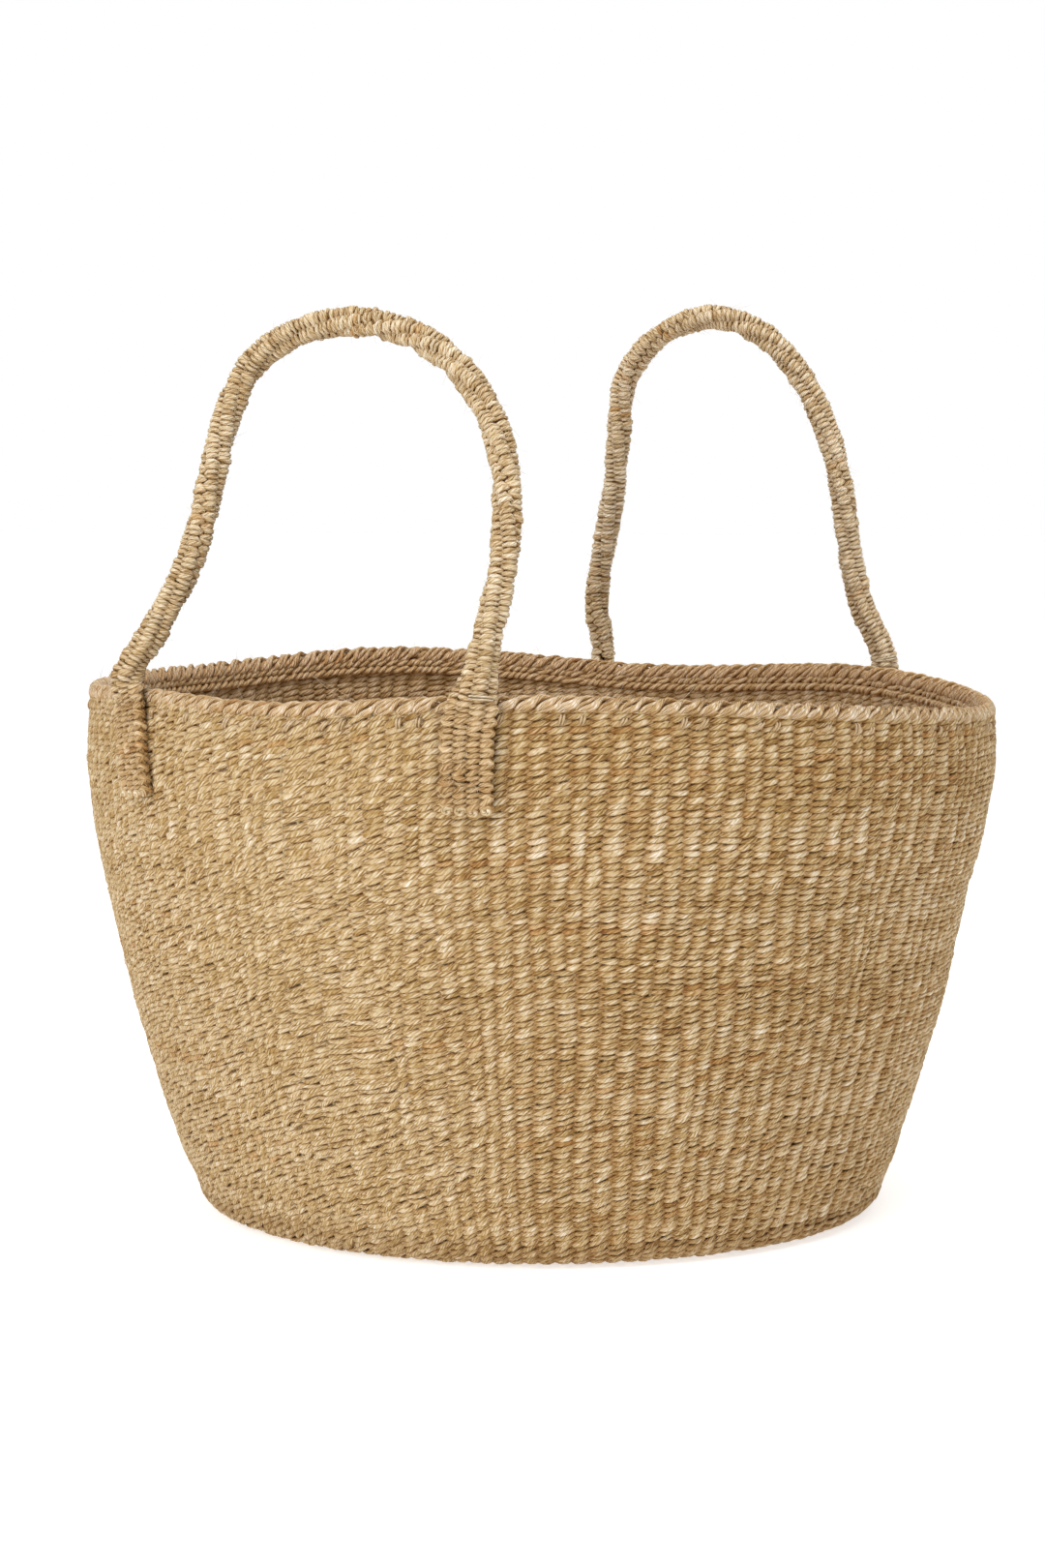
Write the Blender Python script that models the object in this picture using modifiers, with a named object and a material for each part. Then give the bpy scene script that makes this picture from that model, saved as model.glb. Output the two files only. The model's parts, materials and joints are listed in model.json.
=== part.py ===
"""Kiondo basket: a twined fibre shopper with two rolled strap handles.

Units are metres and +Z is up. The origin is the centre of the underside of the base.
The handles stand at -Y (front) and +Y (rear), and each swings about a line along X
through its two feet.
"""

import math

import bmesh
import bpy
from mathutils import Matrix, Vector

# Body of the basket
BASKET_HEIGHT = 0.232
BASE_RADIUS = 0.151
MOUTH_RADIUS = 0.199
WALL_THICKNESS = 0.005
BASE_THICKNESS = 0.005
CORNER_RADIUS = 0.012
TURNED_IN = 0.003
WALL_SEGMENTS = 72
CORNER_STEPS = 4

# Outer line of the wall: (share of the height, share of the flare from base to mouth)
WALL_LINE_SHARES = (
    (1.0, 1.0),
    (0.93, 1.02),
    (0.86, 1.02),
    (0.73, 0.94),
    (0.56, 0.755),
    (0.39, 0.56),
    (0.22, 0.325),
    (0.12, 0.16),
)

# Rim: a rope of slanted strands along the top edge, and a bound roll inside it
BRAID_HEIGHT = 0.0052
BRAID_WIDTH = 0.0038
BRAID_BUMP_COUNT = 156
RINGS_PER_BUMP = 3
BRAID_SIDES = 6
ROLL_HEIGHT = 0.0125
ROLL_WIDTH = 0.0072
ROLL_DROP = 0.0012
ROLL_ARC_STEPS = 5

# Straps: four wrapped cords side by side, flat at the rim and rolled into a tube above it
TAB_WIDTH = 0.0215
TAB_THICKNESS = 0.0056
TAB_LENGTH = 0.046
TAB_END_ROUND = 0.0028
NECK_WIDTH = 0.018
NECK_THICKNESS = 0.006
ROLLED_DIAMETER = 0.0124
ROLL_UP_LENGTH = 0.046
CORD_COUNT = 4
TAB_GROOVE_SHARE = 0.17
ROLLED_GROOVE_SHARE = 0.32
STRAP_TURNS = -3
RING_SPACING = 0.0068
SPLINE_SAMPLES = 24
END_ROUND_DEG = (80.0, 60.0, 30.0)

# How far each handle folds out from upright
FOLD_OUT_DEG = 120.0

# Where each handle stands, how far it leans in, and how high it rises
FRONT_FOOT_ANGLE_DEG = 24.15
FRONT_LEAN_DEG = 18.0
FRONT_RISE = 0.1557
REAR_FOOT_ANGLE_DEG = 22.55
REAR_LEAN_DEG = 8.0
REAR_RISE = 0.166

# Middle line of each handle seen from the front: (share of half the span, share of the rise)
FRONT_ARCH_SHARES = (
    (-0.93, 0.17), (-0.80, 0.357), (-0.77, 0.537), (-0.75, 0.723), (-0.65, 0.888), (-0.39, 0.98),
    (-0.03, 1.0), (0.30, 0.958), (0.59, 0.863), (0.82, 0.728), (0.96, 0.564), (1.02, 0.385), (1.01, 0.18),
)
REAR_ARCH_SHARES = (
    (-1.02, 0.149), (-0.94, 0.318), (-0.84, 0.484), (-0.77, 0.658), (-0.69, 0.827), (-0.43, 0.947),
    (-0.06, 1.0), (0.27, 0.954), (0.52, 0.838), (0.69, 0.677), (0.78, 0.502), (0.81, 0.332), (0.87, 0.165),
)

# Gaps between neighbours
SEAM_GAP = 0.0003
SWING_GAP = 0.0006
CUT_OVERRUN = 0.01
MERGE_DISTANCE = 0.00005

SISAL = (0.62, 0.47, 0.27, 1.0)
SISAL_SHADE = (0.53, 0.39, 0.22, 1.0)
SISAL_PALE = (0.70, 0.55, 0.34, 1.0)
SISAL_ROUGHNESS = 0.85


def clear_scene():
    for obj in list(bpy.data.objects):
        bpy.data.objects.remove(obj, do_unlink=True)


def make_collection(name):
    collection = bpy.data.collections.new(name)
    bpy.context.scene.collection.children.link(collection)
    return collection


def sisal_material(name, colour):
    """Dry plant fibre: matt, never metallic."""
    material = bpy.data.materials.new(name)
    material.use_nodes = True
    shader = material.node_tree.nodes["Principled BSDF"]
    shader.inputs["Base Color"].default_value = colour
    shader.inputs["Roughness"].default_value = SISAL_ROUGHNESS
    shader.inputs["Metallic"].default_value = 0.0
    return material


def add_mesh(name, bm, collection, colour=SISAL):
    """A named object of its own, in its own material."""
    bmesh.ops.recalc_face_normals(bm, faces=bm.faces)
    mesh = bpy.data.meshes.new(name)
    bm.to_mesh(mesh)
    bm.free()
    mesh.materials.append(sisal_material(name + "_sisal", colour))
    obj = bpy.data.objects.new(name, mesh)
    collection.objects.link(obj)
    return obj


def make_cutter(obj):
    obj.hide_render = True
    obj.display_type = "WIRE"
    return obj


def cut_away(obj, cutter):
    modifier = obj.modifiers.new("cut_by_" + cutter.name, "BOOLEAN")
    modifier.operation = "DIFFERENCE"
    modifier.object = cutter
    modifier.solver = "EXACT"


# The turned shapes


def turned(name, profile, collection, closed, colour=SISAL):
    """A profile of (radius, height) points, top to bottom down its outer side, turned about Z."""
    bm = bmesh.new()
    verts = [bm.verts.new((radius, 0.0, height)) for radius, height in profile]
    for first, second in zip(verts, verts[1:]):
        bm.edges.new((first, second))
    if closed:
        bm.edges.new((verts[-1], verts[0]))
    mesh = bpy.data.meshes.new(name)
    bm.to_mesh(mesh)
    bm.free()
    mesh.materials.append(sisal_material(name + "_sisal", colour))
    obj = bpy.data.objects.new(name, mesh)
    collection.objects.link(obj)
    screw = obj.modifiers.new("turn", "SCREW")
    screw.axis = "Z"
    screw.angle = 2 * math.pi
    screw.steps = WALL_SEGMENTS
    screw.render_steps = WALL_SEGMENTS
    screw.use_merge_vertices = True
    screw.merge_threshold = MERGE_DISTANCE
    screw.use_normal_calculate = False
    screw.use_smooth_shade = True
    return obj


def wall_radius(height):
    """Outer radius of the wall at a height, along straight pieces of its line."""
    line = [(share * BASKET_HEIGHT, BASE_RADIUS + flare * (MOUTH_RADIUS - BASE_RADIUS))
            for share, flare in WALL_LINE_SHARES]
    line.append((CORNER_RADIUS, BASE_RADIUS))
    if height >= line[0][0]:
        return line[0][1]
    for (upper, outer), (lower, inner) in zip(line, line[1:]):
        if height >= lower:
            return inner + (outer - inner) * (height - lower) / (upper - lower)
    return line[-1][1]


def wall_line(top):
    """The wall's outer side from its top edge down, and round the corner into the base."""
    heights = [top] + [share * BASKET_HEIGHT for share, _ in WALL_LINE_SHARES if share * BASKET_HEIGHT < top]
    points = [(wall_radius(height), height) for height in heights]
    for step in range(CORNER_STEPS + 1):
        turn = 0.5 * math.pi * step / CORNER_STEPS
        points.append((BASE_RADIUS - CORNER_RADIUS * (1 - math.cos(turn)),
                       CORNER_RADIUS * (1 - math.sin(turn))))
    points.append((BASE_RADIUS - CORNER_RADIUS - TURNED_IN, 0.0))
    return points


def wall_top():
    return BASKET_HEIGHT - BRAID_HEIGHT - SEAM_GAP


def bulge_radius():
    return max(wall_radius(share * BASKET_HEIGHT) for share, _ in WALL_LINE_SHARES)


def build_wall(collection):
    """The twined wall, with the corner that turns in under the basket."""
    wall = turned("wall_weave", wall_line(wall_top()), collection, closed=False)
    shell = wall.modifiers.new("fabric", "SOLIDIFY")
    shell.thickness = WALL_THICKNESS
    shell.offset = -1.0
    shell.use_even_offset = True
    shell.use_rim = True


def build_base(collection):
    """The twined disc inside the turned corner."""
    radius = BASE_RADIUS - CORNER_RADIUS - TURNED_IN - SEAM_GAP
    bpy.ops.mesh.primitive_cylinder_add(vertices=WALL_SEGMENTS, radius=radius, depth=BASE_THICKNESS,
                                        location=(0.0, 0.0, 0.5 * BASE_THICKNESS))
    base = bpy.context.object
    base.name = "base_weave"
    base.data.materials.append(sisal_material("base_weave_sisal", SISAL_SHADE))
    for owner in list(base.users_collection):
        owner.objects.unlink(base)
    collection.objects.link(base)


def build_rim_roll(collection):
    """The bound stake ends inside the rim: flat against the wall, rounded towards the mouth."""
    outer = MOUTH_RADIUS - WALL_THICKNESS - SEAM_GAP
    top = BASKET_HEIGHT - ROLL_DROP
    middle = top - 0.5 * ROLL_HEIGHT
    points = [(outer, top), (outer, top - ROLL_HEIGHT)]
    for step in range(ROLL_ARC_STEPS + 1):
        turn = math.pi * (step / ROLL_ARC_STEPS - 0.5)
        points.append((outer - 0.5 * ROLL_WIDTH * (1 + math.cos(turn)),
                       middle + 0.5 * ROLL_HEIGHT * math.sin(turn)))
    turned("rim_roll", points, collection, closed=True, colour=SISAL_SHADE)


# The lofted shapes


def loft(bm, rings, closed):
    """Skins rings of points one after the other, and caps the two ends of an open run."""
    loops = [[bm.verts.new(point) for point in ring] for ring in rings]
    pairs = list(zip(loops, loops[1:]))
    if closed:
        pairs.append((loops[-1], loops[0]))
    for lower, upper in pairs:
        count = len(lower)
        for side in range(count):
            after = (side + 1) % count
            bm.faces.new((lower[side], lower[after], upper[after], upper[side]))
    if not closed:
        bm.faces.new(list(reversed(loops[0])))
        bm.faces.new(loops[-1])


def build_rim_braid(collection):
    """The closing braid: an oval rope that turns half round from one slanted strand to the next."""
    radius = MOUTH_RADIUS - 0.5 * BRAID_HEIGHT
    height = BASKET_HEIGHT - 0.5 * BRAID_HEIGHT
    ring_count = BRAID_BUMP_COUNT * RINGS_PER_BUMP
    rings = []
    for index in range(ring_count):
        along = 2 * math.pi * index / ring_count
        lay = math.pi * index / RINGS_PER_BUMP
        out = Vector((math.cos(along), math.sin(along), 0.0))
        centre = out * radius + Vector((0.0, 0.0, height))
        ring = []
        for side in range(BRAID_SIDES):
            turn = 2 * math.pi * side / BRAID_SIDES
            wide = 0.5 * BRAID_HEIGHT * math.cos(turn)
            thin = 0.5 * BRAID_WIDTH * math.sin(turn)
            across = wide * math.cos(lay) - thin * math.sin(lay)
            up = wide * math.sin(lay) + thin * math.cos(lay)
            ring.append(centre + out * across + Vector((0.0, 0.0, up)))
        rings.append(ring)
    bm = bmesh.new()
    loft(bm, rings, closed=True)
    add_mesh("rim_braid", bm, collection, SISAL_PALE)


def flat_outline(width, thickness):
    """Four cords side by side, as (across, through) points: an edge, then cord tops and grooves."""
    steps = 2 * CORD_COUNT
    face = []
    for step in range(steps + 1):
        across = width * (step / steps - 0.5)
        depth = 0.5 * thickness
        if step % 2 == 0:
            depth -= TAB_GROOVE_SHARE * thickness
        if step in (0, steps):
            depth = 0.0
        face.append((across, depth))
    back = [(across, -depth) for across, depth in reversed(face[1:-1])]
    return list(reversed(face)) + list(reversed(back))


def rolled_outline(diameter):
    """The same four cords curled into a tube: four lobes and four grooves."""
    count = 4 * CORD_COUNT
    points = []
    for step in range(count):
        turn = 2 * math.pi * step / count
        hollow = 0.5 * (1 + math.cos(CORD_COUNT * turn))
        radius = 0.5 * diameter * (1 - ROLLED_GROOVE_SHARE * hollow)
        points.append((radius * math.cos(turn), radius * math.sin(turn)))
    return points


def strap_section(width, thickness, curl, turn):
    """An outline between flat (curl 0) and rolled (curl 1), turned about the middle of the strap."""
    points = []
    for flat, rolled in zip(flat_outline(width, thickness), rolled_outline(ROLLED_DIAMETER)):
        across = flat[0] + (rolled[0] - flat[0]) * curl
        through = flat[1] + (rolled[1] - flat[1]) * curl
        points.append((across * math.cos(turn) - through * math.sin(turn),
                       across * math.sin(turn) + through * math.cos(turn)))
    return points


def smooth(share):
    share = min(max(share, 0.0), 1.0)
    return share * share * (3 - 2 * share)


def spline_points(controls, spacing):
    """Evenly spaced points on a smooth curve through the control points."""
    ends = [2 * controls[0] - controls[1]] + list(controls) + [2 * controls[-1] - controls[-2]]
    fine = []
    for index in range(len(controls) - 1):
        a, b, c, d = ends[index:index + 4]
        for sample in range(SPLINE_SAMPLES):
            t = sample / SPLINE_SAMPLES
            fine.append(0.5 * (2 * b + (c - a) * t + (2 * a - 5 * b + 4 * c - d) * t ** 2
                               + (3 * b - a - 3 * c + d) * t ** 3))
    fine.append(Vector(controls[-1]))
    lengths = [0.0]
    for first, second in zip(fine, fine[1:]):
        lengths.append(lengths[-1] + (second - first).length)
    count = round(lengths[-1] / spacing)
    points = []
    cursor = 0
    for index in range(count + 1):
        target = lengths[-1] * index / count
        while cursor < len(lengths) - 2 and lengths[cursor + 1] < target:
            cursor += 1
        step = lengths[cursor + 1] - lengths[cursor]
        points.append(fine[cursor].lerp(fine[cursor + 1], (target - lengths[cursor]) / step))
    return points, lengths[-1]


def handle_rings(half_span, rise, arch_shares):
    """Sections along a handle in its own plane: X along the hinge, Z up, Y through the strap."""
    foot_rise = NECK_THICKNESS
    controls = [Vector((-half_span, 0.0, 0.0)), Vector((-half_span, 0.0, foot_rise))]
    controls += [Vector((half_span * across, 0.0, rise * up)) for across, up in arch_shares]
    controls += [Vector((half_span, 0.0, foot_rise)), Vector((half_span, 0.0, 0.0))]
    line, length = spline_points(controls, RING_SPACING)
    rings = []
    for index, point in enumerate(line):
        before = line[max(index - 1, 0)]
        after = line[min(index + 1, len(line) - 1)]
        tangent = (after - before).normalized()
        if index == 0:
            tangent = Vector((0.0, 0.0, 1.0))
        if index == len(line) - 1:
            tangent = Vector((0.0, 0.0, -1.0))
        side = Vector((tangent.z, 0.0, -tangent.x))
        through = Vector((0.0, 1.0, 0.0))
        along = length * index / (len(line) - 1)
        curl = smooth(min(along, length - along) / ROLL_UP_LENGTH)
        turn = 2 * math.pi * STRAP_TURNS * smooth(along / length)
        section = strap_section(NECK_WIDTH, NECK_THICKNESS, curl, turn)
        rings.append([point + side * a + through * b for a, b in section])
    return knuckle(line[0], 1.0) + rings + list(reversed(knuckle(line[-1], -1.0)))


def knuckle(foot, side_sign):
    """Rounds the end of a strap about the hinge line, so that it can turn over the rim."""
    radius = 0.5 * NECK_THICKNESS
    rings = []
    for turn_deg in END_ROUND_DEG:
        turn = math.radians(turn_deg)
        section = strap_section(NECK_WIDTH, NECK_THICKNESS * math.cos(turn), 0.0, 0.0)
        drop = Vector((0.0, 0.0, -radius * math.sin(turn)))
        rings.append([foot + drop + Vector((side_sign * a, b, 0.0)) for a, b in section])
    return rings


# Where the straps meet the basket


def tab_face_radius():
    """The outer faces of the tabs, which lie on the widest part of the wall."""
    return bulge_radius() + SEAM_GAP + TAB_THICKNESS


def foot_radius():
    return tab_face_radius() - 0.5 * NECK_THICKNESS


def hinge_height():
    return BASKET_HEIGHT + SEAM_GAP + 0.5 * NECK_THICKNESS


def hinge_offset(foot_angle):
    return foot_radius() * math.cos(foot_angle)


def build_handle(name, collection, facing, foot_angle, lean, rise, arch_shares):
    """A handle with its origin in the middle of its hinge line, leaning in over the mouth."""
    half_span = foot_radius() * math.sin(foot_angle)
    bm = bmesh.new()
    loft(bm, handle_rings(half_span, rise, arch_shares), closed=False)
    handle = add_mesh(name, bm, collection)
    handle.location = (0.0, facing * hinge_offset(foot_angle), hinge_height())
    handle.rotation_euler = (facing * lean, 0.0, 0.0)
    handle.data.shade_smooth()
    print(name, "half span", round(half_span, 5), "hinge", [round(v, 5) for v in handle.location])


def make_wall_former(cutters):
    """The outside of the basket and a seam, as one solid that the tabs are hollowed by."""
    top = BASKET_HEIGHT + CUT_OVERRUN
    line = [(radius + SEAM_GAP, height) for radius, height in wall_line(top)]
    profile = [(0.0, top)] + line + [(0.0, line[-1][1])]
    return make_cutter(turned("wall_former", profile, cutters, closed=False))


def make_fold_cutter(name, cutters, facing, foot_angle):
    """The space that the strap needs above a tab when the handle is folded right out."""
    size = TAB_LENGTH
    bpy.ops.mesh.primitive_cube_add(size=1.0)
    cutter = bpy.context.object
    cutter.name = name
    fold = math.radians(FOLD_OUT_DEG)
    hinge = Vector((0.0, facing * hinge_offset(foot_angle), hinge_height()))
    down = 0.5 * NECK_THICKNESS + SWING_GAP - 0.5 * size
    turned_frame = Matrix.Rotation(-facing * fold, 4, "X")
    outward = turned_frame @ Vector((0.0, 0.0, 1.0))
    inner_normal = turned_frame @ Vector((0.0, -facing, 0.0))
    if inner_normal.z > 0:
        inner_normal = -inner_normal
    centre = hinge + outward * 0.5 * size + inner_normal * down
    length = 2 * foot_radius()
    scaling = Matrix.Diagonal((length, size, size + CUT_OVERRUN, 1.0))
    cutter.data.transform(Matrix.Translation(centre) @ turned_frame @ scaling)
    for owner in list(cutter.users_collection):
        owner.objects.unlink(cutter)
    cutters.objects.link(cutter)
    return make_cutter(cutter)


def build_tab(name, collection, facing, side, foot_angle, former, fold_cutter):
    """The flat end of a strap, sewn to the outside of the wall, with rounded cord ends."""
    top = hinge_height() - 0.5 * NECK_THICKNESS - SWING_GAP
    bottom = BASKET_HEIGHT - TAB_LENGTH
    rings = []
    for turn_deg in END_ROUND_DEG:
        turn = math.radians(turn_deg)
        rings.append((bottom + TAB_END_ROUND * (1 - math.sin(turn)), math.cos(turn)))
    rings += [(bottom + TAB_END_ROUND, 1.0), (top, 1.0)]
    depth = TAB_THICKNESS + bulge_radius() - wall_radius(bottom)
    bm = bmesh.new()
    sections = []
    for height, fullness in rings:
        width = TAB_WIDTH - (1 - fullness) * TAB_END_ROUND
        outline = strap_section(width, 2 * depth * fullness, 0.0, 0.0)
        sections.append([Vector((a, b, height)) for a, b in outline])
    loft(bm, sections, closed=False)
    tab = add_mesh(name, bm, collection, SISAL_PALE)
    turn = math.atan2(facing * math.cos(foot_angle), side * math.sin(foot_angle))
    middle = tab_face_radius() - depth
    tab.location = (middle * math.cos(turn), middle * math.sin(turn), 0.0)
    tab.rotation_euler = (0.0, 0.0, turn - 0.5 * math.pi)
    tab.data.shade_smooth()
    cut_away(tab, former)
    cut_away(tab, fold_cutter)


def build_straps(collection, cutters):
    former = make_wall_former(cutters)
    straps = (
        ("front", -1, FRONT_FOOT_ANGLE_DEG, FRONT_LEAN_DEG, FRONT_RISE, FRONT_ARCH_SHARES),
        ("rear", 1, REAR_FOOT_ANGLE_DEG, REAR_LEAN_DEG, REAR_RISE, REAR_ARCH_SHARES),
    )
    for name, facing, angle_deg, lean_deg, rise, shares in straps:
        angle = math.radians(angle_deg)
        build_handle(name + "_handle", collection, facing, angle, math.radians(lean_deg), rise, shares)
        fold_cutter = make_fold_cutter(name + "_fold_space", cutters, facing, angle)
        build_tab(name + "_left_tab", collection, facing, -1, angle, former, fold_cutter)
        build_tab(name + "_right_tab", collection, facing, 1, angle, former, fold_cutter)


def main():
    clear_scene()
    basket = make_collection("kiondo_basket")
    cutters = make_collection("cutters")
    build_base(basket)
    build_wall(basket)
    build_rim_roll(basket)
    build_rim_braid(basket)
    build_straps(basket, cutters)


main()
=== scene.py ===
# %% [markdown]
# # A kiondo basket, twined strand by strand
#
# A kiondo is an open shopper made by hand from two-ply sisal. Two strands are twined round upright
# stakes, row after row, in one long spiral that starts in the middle of the base and ends at the rim.
# The two handles are narrow bands twined the same way and rolled into a tube.
#
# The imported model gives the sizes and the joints. This lesson lays every strand of the basket round it,
# because a woven thing shows its strands at its edges, in its shadows and in each gap, and a flat wall
# with a picture of a weave shows none of that.

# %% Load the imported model
import json
import math

import bpy
import numpy as np
from mathutils import Matrix, Vector


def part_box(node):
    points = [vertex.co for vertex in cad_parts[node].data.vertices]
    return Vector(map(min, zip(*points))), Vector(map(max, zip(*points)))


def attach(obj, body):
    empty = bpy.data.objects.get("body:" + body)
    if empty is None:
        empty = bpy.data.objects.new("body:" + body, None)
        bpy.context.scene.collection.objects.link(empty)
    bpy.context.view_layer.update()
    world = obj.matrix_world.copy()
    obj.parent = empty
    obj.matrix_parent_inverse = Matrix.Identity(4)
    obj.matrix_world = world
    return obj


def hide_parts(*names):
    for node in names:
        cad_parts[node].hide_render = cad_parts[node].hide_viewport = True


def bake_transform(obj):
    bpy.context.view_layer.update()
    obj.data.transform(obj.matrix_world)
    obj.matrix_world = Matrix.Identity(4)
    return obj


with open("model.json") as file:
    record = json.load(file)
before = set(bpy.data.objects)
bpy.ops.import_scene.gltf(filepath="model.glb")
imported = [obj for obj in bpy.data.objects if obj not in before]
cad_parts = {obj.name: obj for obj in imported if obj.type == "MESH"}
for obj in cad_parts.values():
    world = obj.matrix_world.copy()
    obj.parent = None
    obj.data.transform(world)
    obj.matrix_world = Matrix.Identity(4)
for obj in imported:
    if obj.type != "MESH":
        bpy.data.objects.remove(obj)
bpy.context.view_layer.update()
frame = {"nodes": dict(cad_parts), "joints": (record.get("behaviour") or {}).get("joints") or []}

bpy.ops.object.select_all(action="DESELECT")
MM = 0.001

# %% [markdown]
# ## The camera
#
# The photograph looks down on the basket a little, from well back, so that the round mouth shows as a
# narrow ellipse. A camera fit to the rim and the base gave the distance, the height and the lens. The
# basket was photographed from its front left, so the camera is swung round the upright axis.

# %% Camera
PHOTO_TURN = math.radians(31.6)
CAMERA_AT = (-0.0085, -1.5, 0.309)
CAMERA_TILT = math.radians(4.71)
LENS_MM = 77.56
SENSOR_MM = 36.0

camera_data = bpy.data.cameras.new("photo_camera")
camera_data.lens = LENS_MM
camera_data.sensor_width = SENSOR_MM
camera = bpy.data.objects.new("photo_camera", camera_data)
bpy.context.scene.collection.objects.link(camera)
camera.location = Matrix.Rotation(PHOTO_TURN, 3, "Z") @ Vector(CAMERA_AT)
camera.rotation_euler = (math.radians(90.0) - CAMERA_TILT, 0.0, PHOTO_TURN)
bpy.context.scene.camera = camera
print("camera at", [round(value, 3) for value in camera.location])

# %% [markdown]
# ## The line of the fabric
#
# Wall and base are one cloth 5 mm thick: it starts at the centre of the base, turns up round the
# corner and flares to the rim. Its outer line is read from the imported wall, eased a little as cloth
# is, and moved in by half its thickness. A distance along this line then says where a strand lies.

# %% Fabric line
FABRIC = 5.0 * MM
LINE_STEP = 0.5 * MM
LINE_EASE = 1.8 * MM
LINE_MORE = 1.2 * MM


def unit(vectors):
    return vectors / np.linalg.norm(vectors, axis=-1, keepdims=True)


def outer_points(node):
    """The (radius, height) points of a turned node's outside, from the bottom up."""
    found = set()
    for face in node.data.polygons:
        away = Vector((face.center.x, face.center.y, 0.0)).normalized()
        if face.normal.dot(away) > 0.05 or face.normal.z < -0.5:
            for index in face.vertices:
                place = node.data.vertices[index].co
                found.add((round(math.hypot(place.x, place.y), 5), round(place.z, 5)))
    return sorted(found, key=lambda point: (point[1], point[0]))


def eased(points):
    """Even steps along a line of points, with its corners rounded."""
    points = np.array(points)
    lengths = np.concatenate([[0.0], np.cumsum(np.linalg.norm(np.diff(points, axis=0), axis=1))])
    reach = int(4 * LINE_EASE / LINE_STEP)
    places = np.arange(-reach, lengths[-1] / LINE_STEP + reach) * LINE_STEP
    inside = np.clip(places, 0.0, lengths[-1])
    line = np.stack([np.interp(inside, lengths, points[:, axis]) for axis in (0, 1)], axis=1)
    first, last = points[1] - points[0], points[-1] - points[-2]
    line += np.minimum(places, 0.0)[:, None] * first / np.linalg.norm(first)
    line += np.maximum(places - lengths[-1], 0.0)[:, None] * last / np.linalg.norm(last)
    kernel = np.exp(-0.5 * (np.arange(-reach, reach + 1) * LINE_STEP / LINE_EASE) ** 2)
    kernel /= kernel.sum()
    return np.stack([np.convolve(line[:, axis], kernel, mode="valid") for axis in (0, 1)], axis=1)


wall_points = outer_points(frame["nodes"]["wall_weave"])
wall_points.append(tuple(np.array(wall_points[-1]) + LINE_MORE * unit(np.subtract(wall_points[-1], wall_points[-3]))))
outer_line = eased([(0.0, 0.0)] + wall_points)
line_direction = np.gradient(outer_line, axis=0)
line_direction /= np.linalg.norm(line_direction, axis=1, keepdims=True)
line_out = np.stack([line_direction[:, 1], -line_direction[:, 0]], axis=1)
middle_line = outer_line - 0.5 * FABRIC * line_out
line_length = np.concatenate([[0.0], np.cumsum(np.linalg.norm(np.diff(middle_line, axis=0), axis=1))])


def on_fabric(along, angle, depth=0.0):
    """Places in the cloth: a distance from the base's centre, an angle round it, a depth outwards."""
    radius = np.interp(along, line_length, middle_line[:, 0]) + depth * np.interp(along, line_length, line_out[:, 0])
    height = np.interp(along, line_length, middle_line[:, 1]) + depth * np.interp(along, line_length, line_out[:, 1])
    return np.stack([radius * np.cos(angle), radius * np.sin(angle), height], axis=-1)


def fabric_normal(along, angle):
    out = np.interp(along, line_length, line_out[:, 0])
    up = np.interp(along, line_length, line_out[:, 1])
    return np.stack([out * np.cos(angle), out * np.sin(angle), up], axis=-1)


def along_at_height(height):
    """How far along the line the wall reaches a height."""
    wall_part = middle_line[:, 1] > FABRIC
    return float(np.interp(height, middle_line[wall_part, 1], line_length[wall_part]))


def mid_radius(along):
    return np.interp(along, line_length, middle_line[:, 0])


print("cloth from centre to rim in mm:", round(line_length[-1] / MM, 1), "up to", round(middle_line[-1, 1] / MM, 1))

# %% [markdown]
# ## Hand-made unevenness
#
# Nothing on a hand-twined basket is quite even. Rows rise and fall by a millimetre, stakes wander, one
# strand is thicker or yellower than the next. Long waves give the wandering: each one goes a whole
# number of times round the basket, so that it meets itself. The rim has its own slow wave, which was
# read off the photograph, and the wall below it follows more and more the higher it gets.

# %% Unevenness
rng = np.random.default_rng(31)


def uneven_field(turns, rises, count):
    """A smooth field over the cloth, of about unit size: waves round the basket and up its wall."""
    around = rng.integers(turns[0], turns[1] + 1, count)
    upward = rng.uniform(rises[0], rises[1], count) * rng.choice((-1.0, 1.0), count)
    start = rng.uniform(0.0, 2 * math.pi, count)

    def field(angle, along):
        total = 0.0
        for a, b, c in zip(around, upward, start):
            total = total + np.cos(a * angle + b * along + c)
        return total * math.sqrt(2.0 / count)

    return field


row_sway = uneven_field((3, 16), (8, 50), 9)
stake_sway = uneven_field((4, 40), (10, 70), 12)
tone_sway = uneven_field((2, 30), (20, 220), 14)
bulge_sway = uneven_field((2, 9), (6, 26), 8)

# Rim wave: degrees round the basket from its right side, and millimetres above the level rim
RIM_WAVE = (
    (-138, -2), (-112, 3.5), (-95, -3), (-62, 5), (-33, 0), (-9, -5.5), (20, -10), (42, -6),
    (58, -2), (73, 2), (103, -4.5), (126, 3.5), (143, 8.5), (175, 0.5), (195, 1),
)
WAVE_FOOT = 70 * MM
# Height in millimetres, how far the wall leans to the photograph's left there, and how much wider it is
WALL_LEAN = (
    (0, 0.2, 3.0), (18, 0.5, 2.5), (36, 1.4, 1.5), (104, 1.5, 1.4), (120, 2.1, 0.7), (150, 2.4, 0.0),
    (180, 1.4, 0.1), (205, 0.4, 0.3), (222, 0.0, 0.0), (300, 0.0, 0.0),
)


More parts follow.
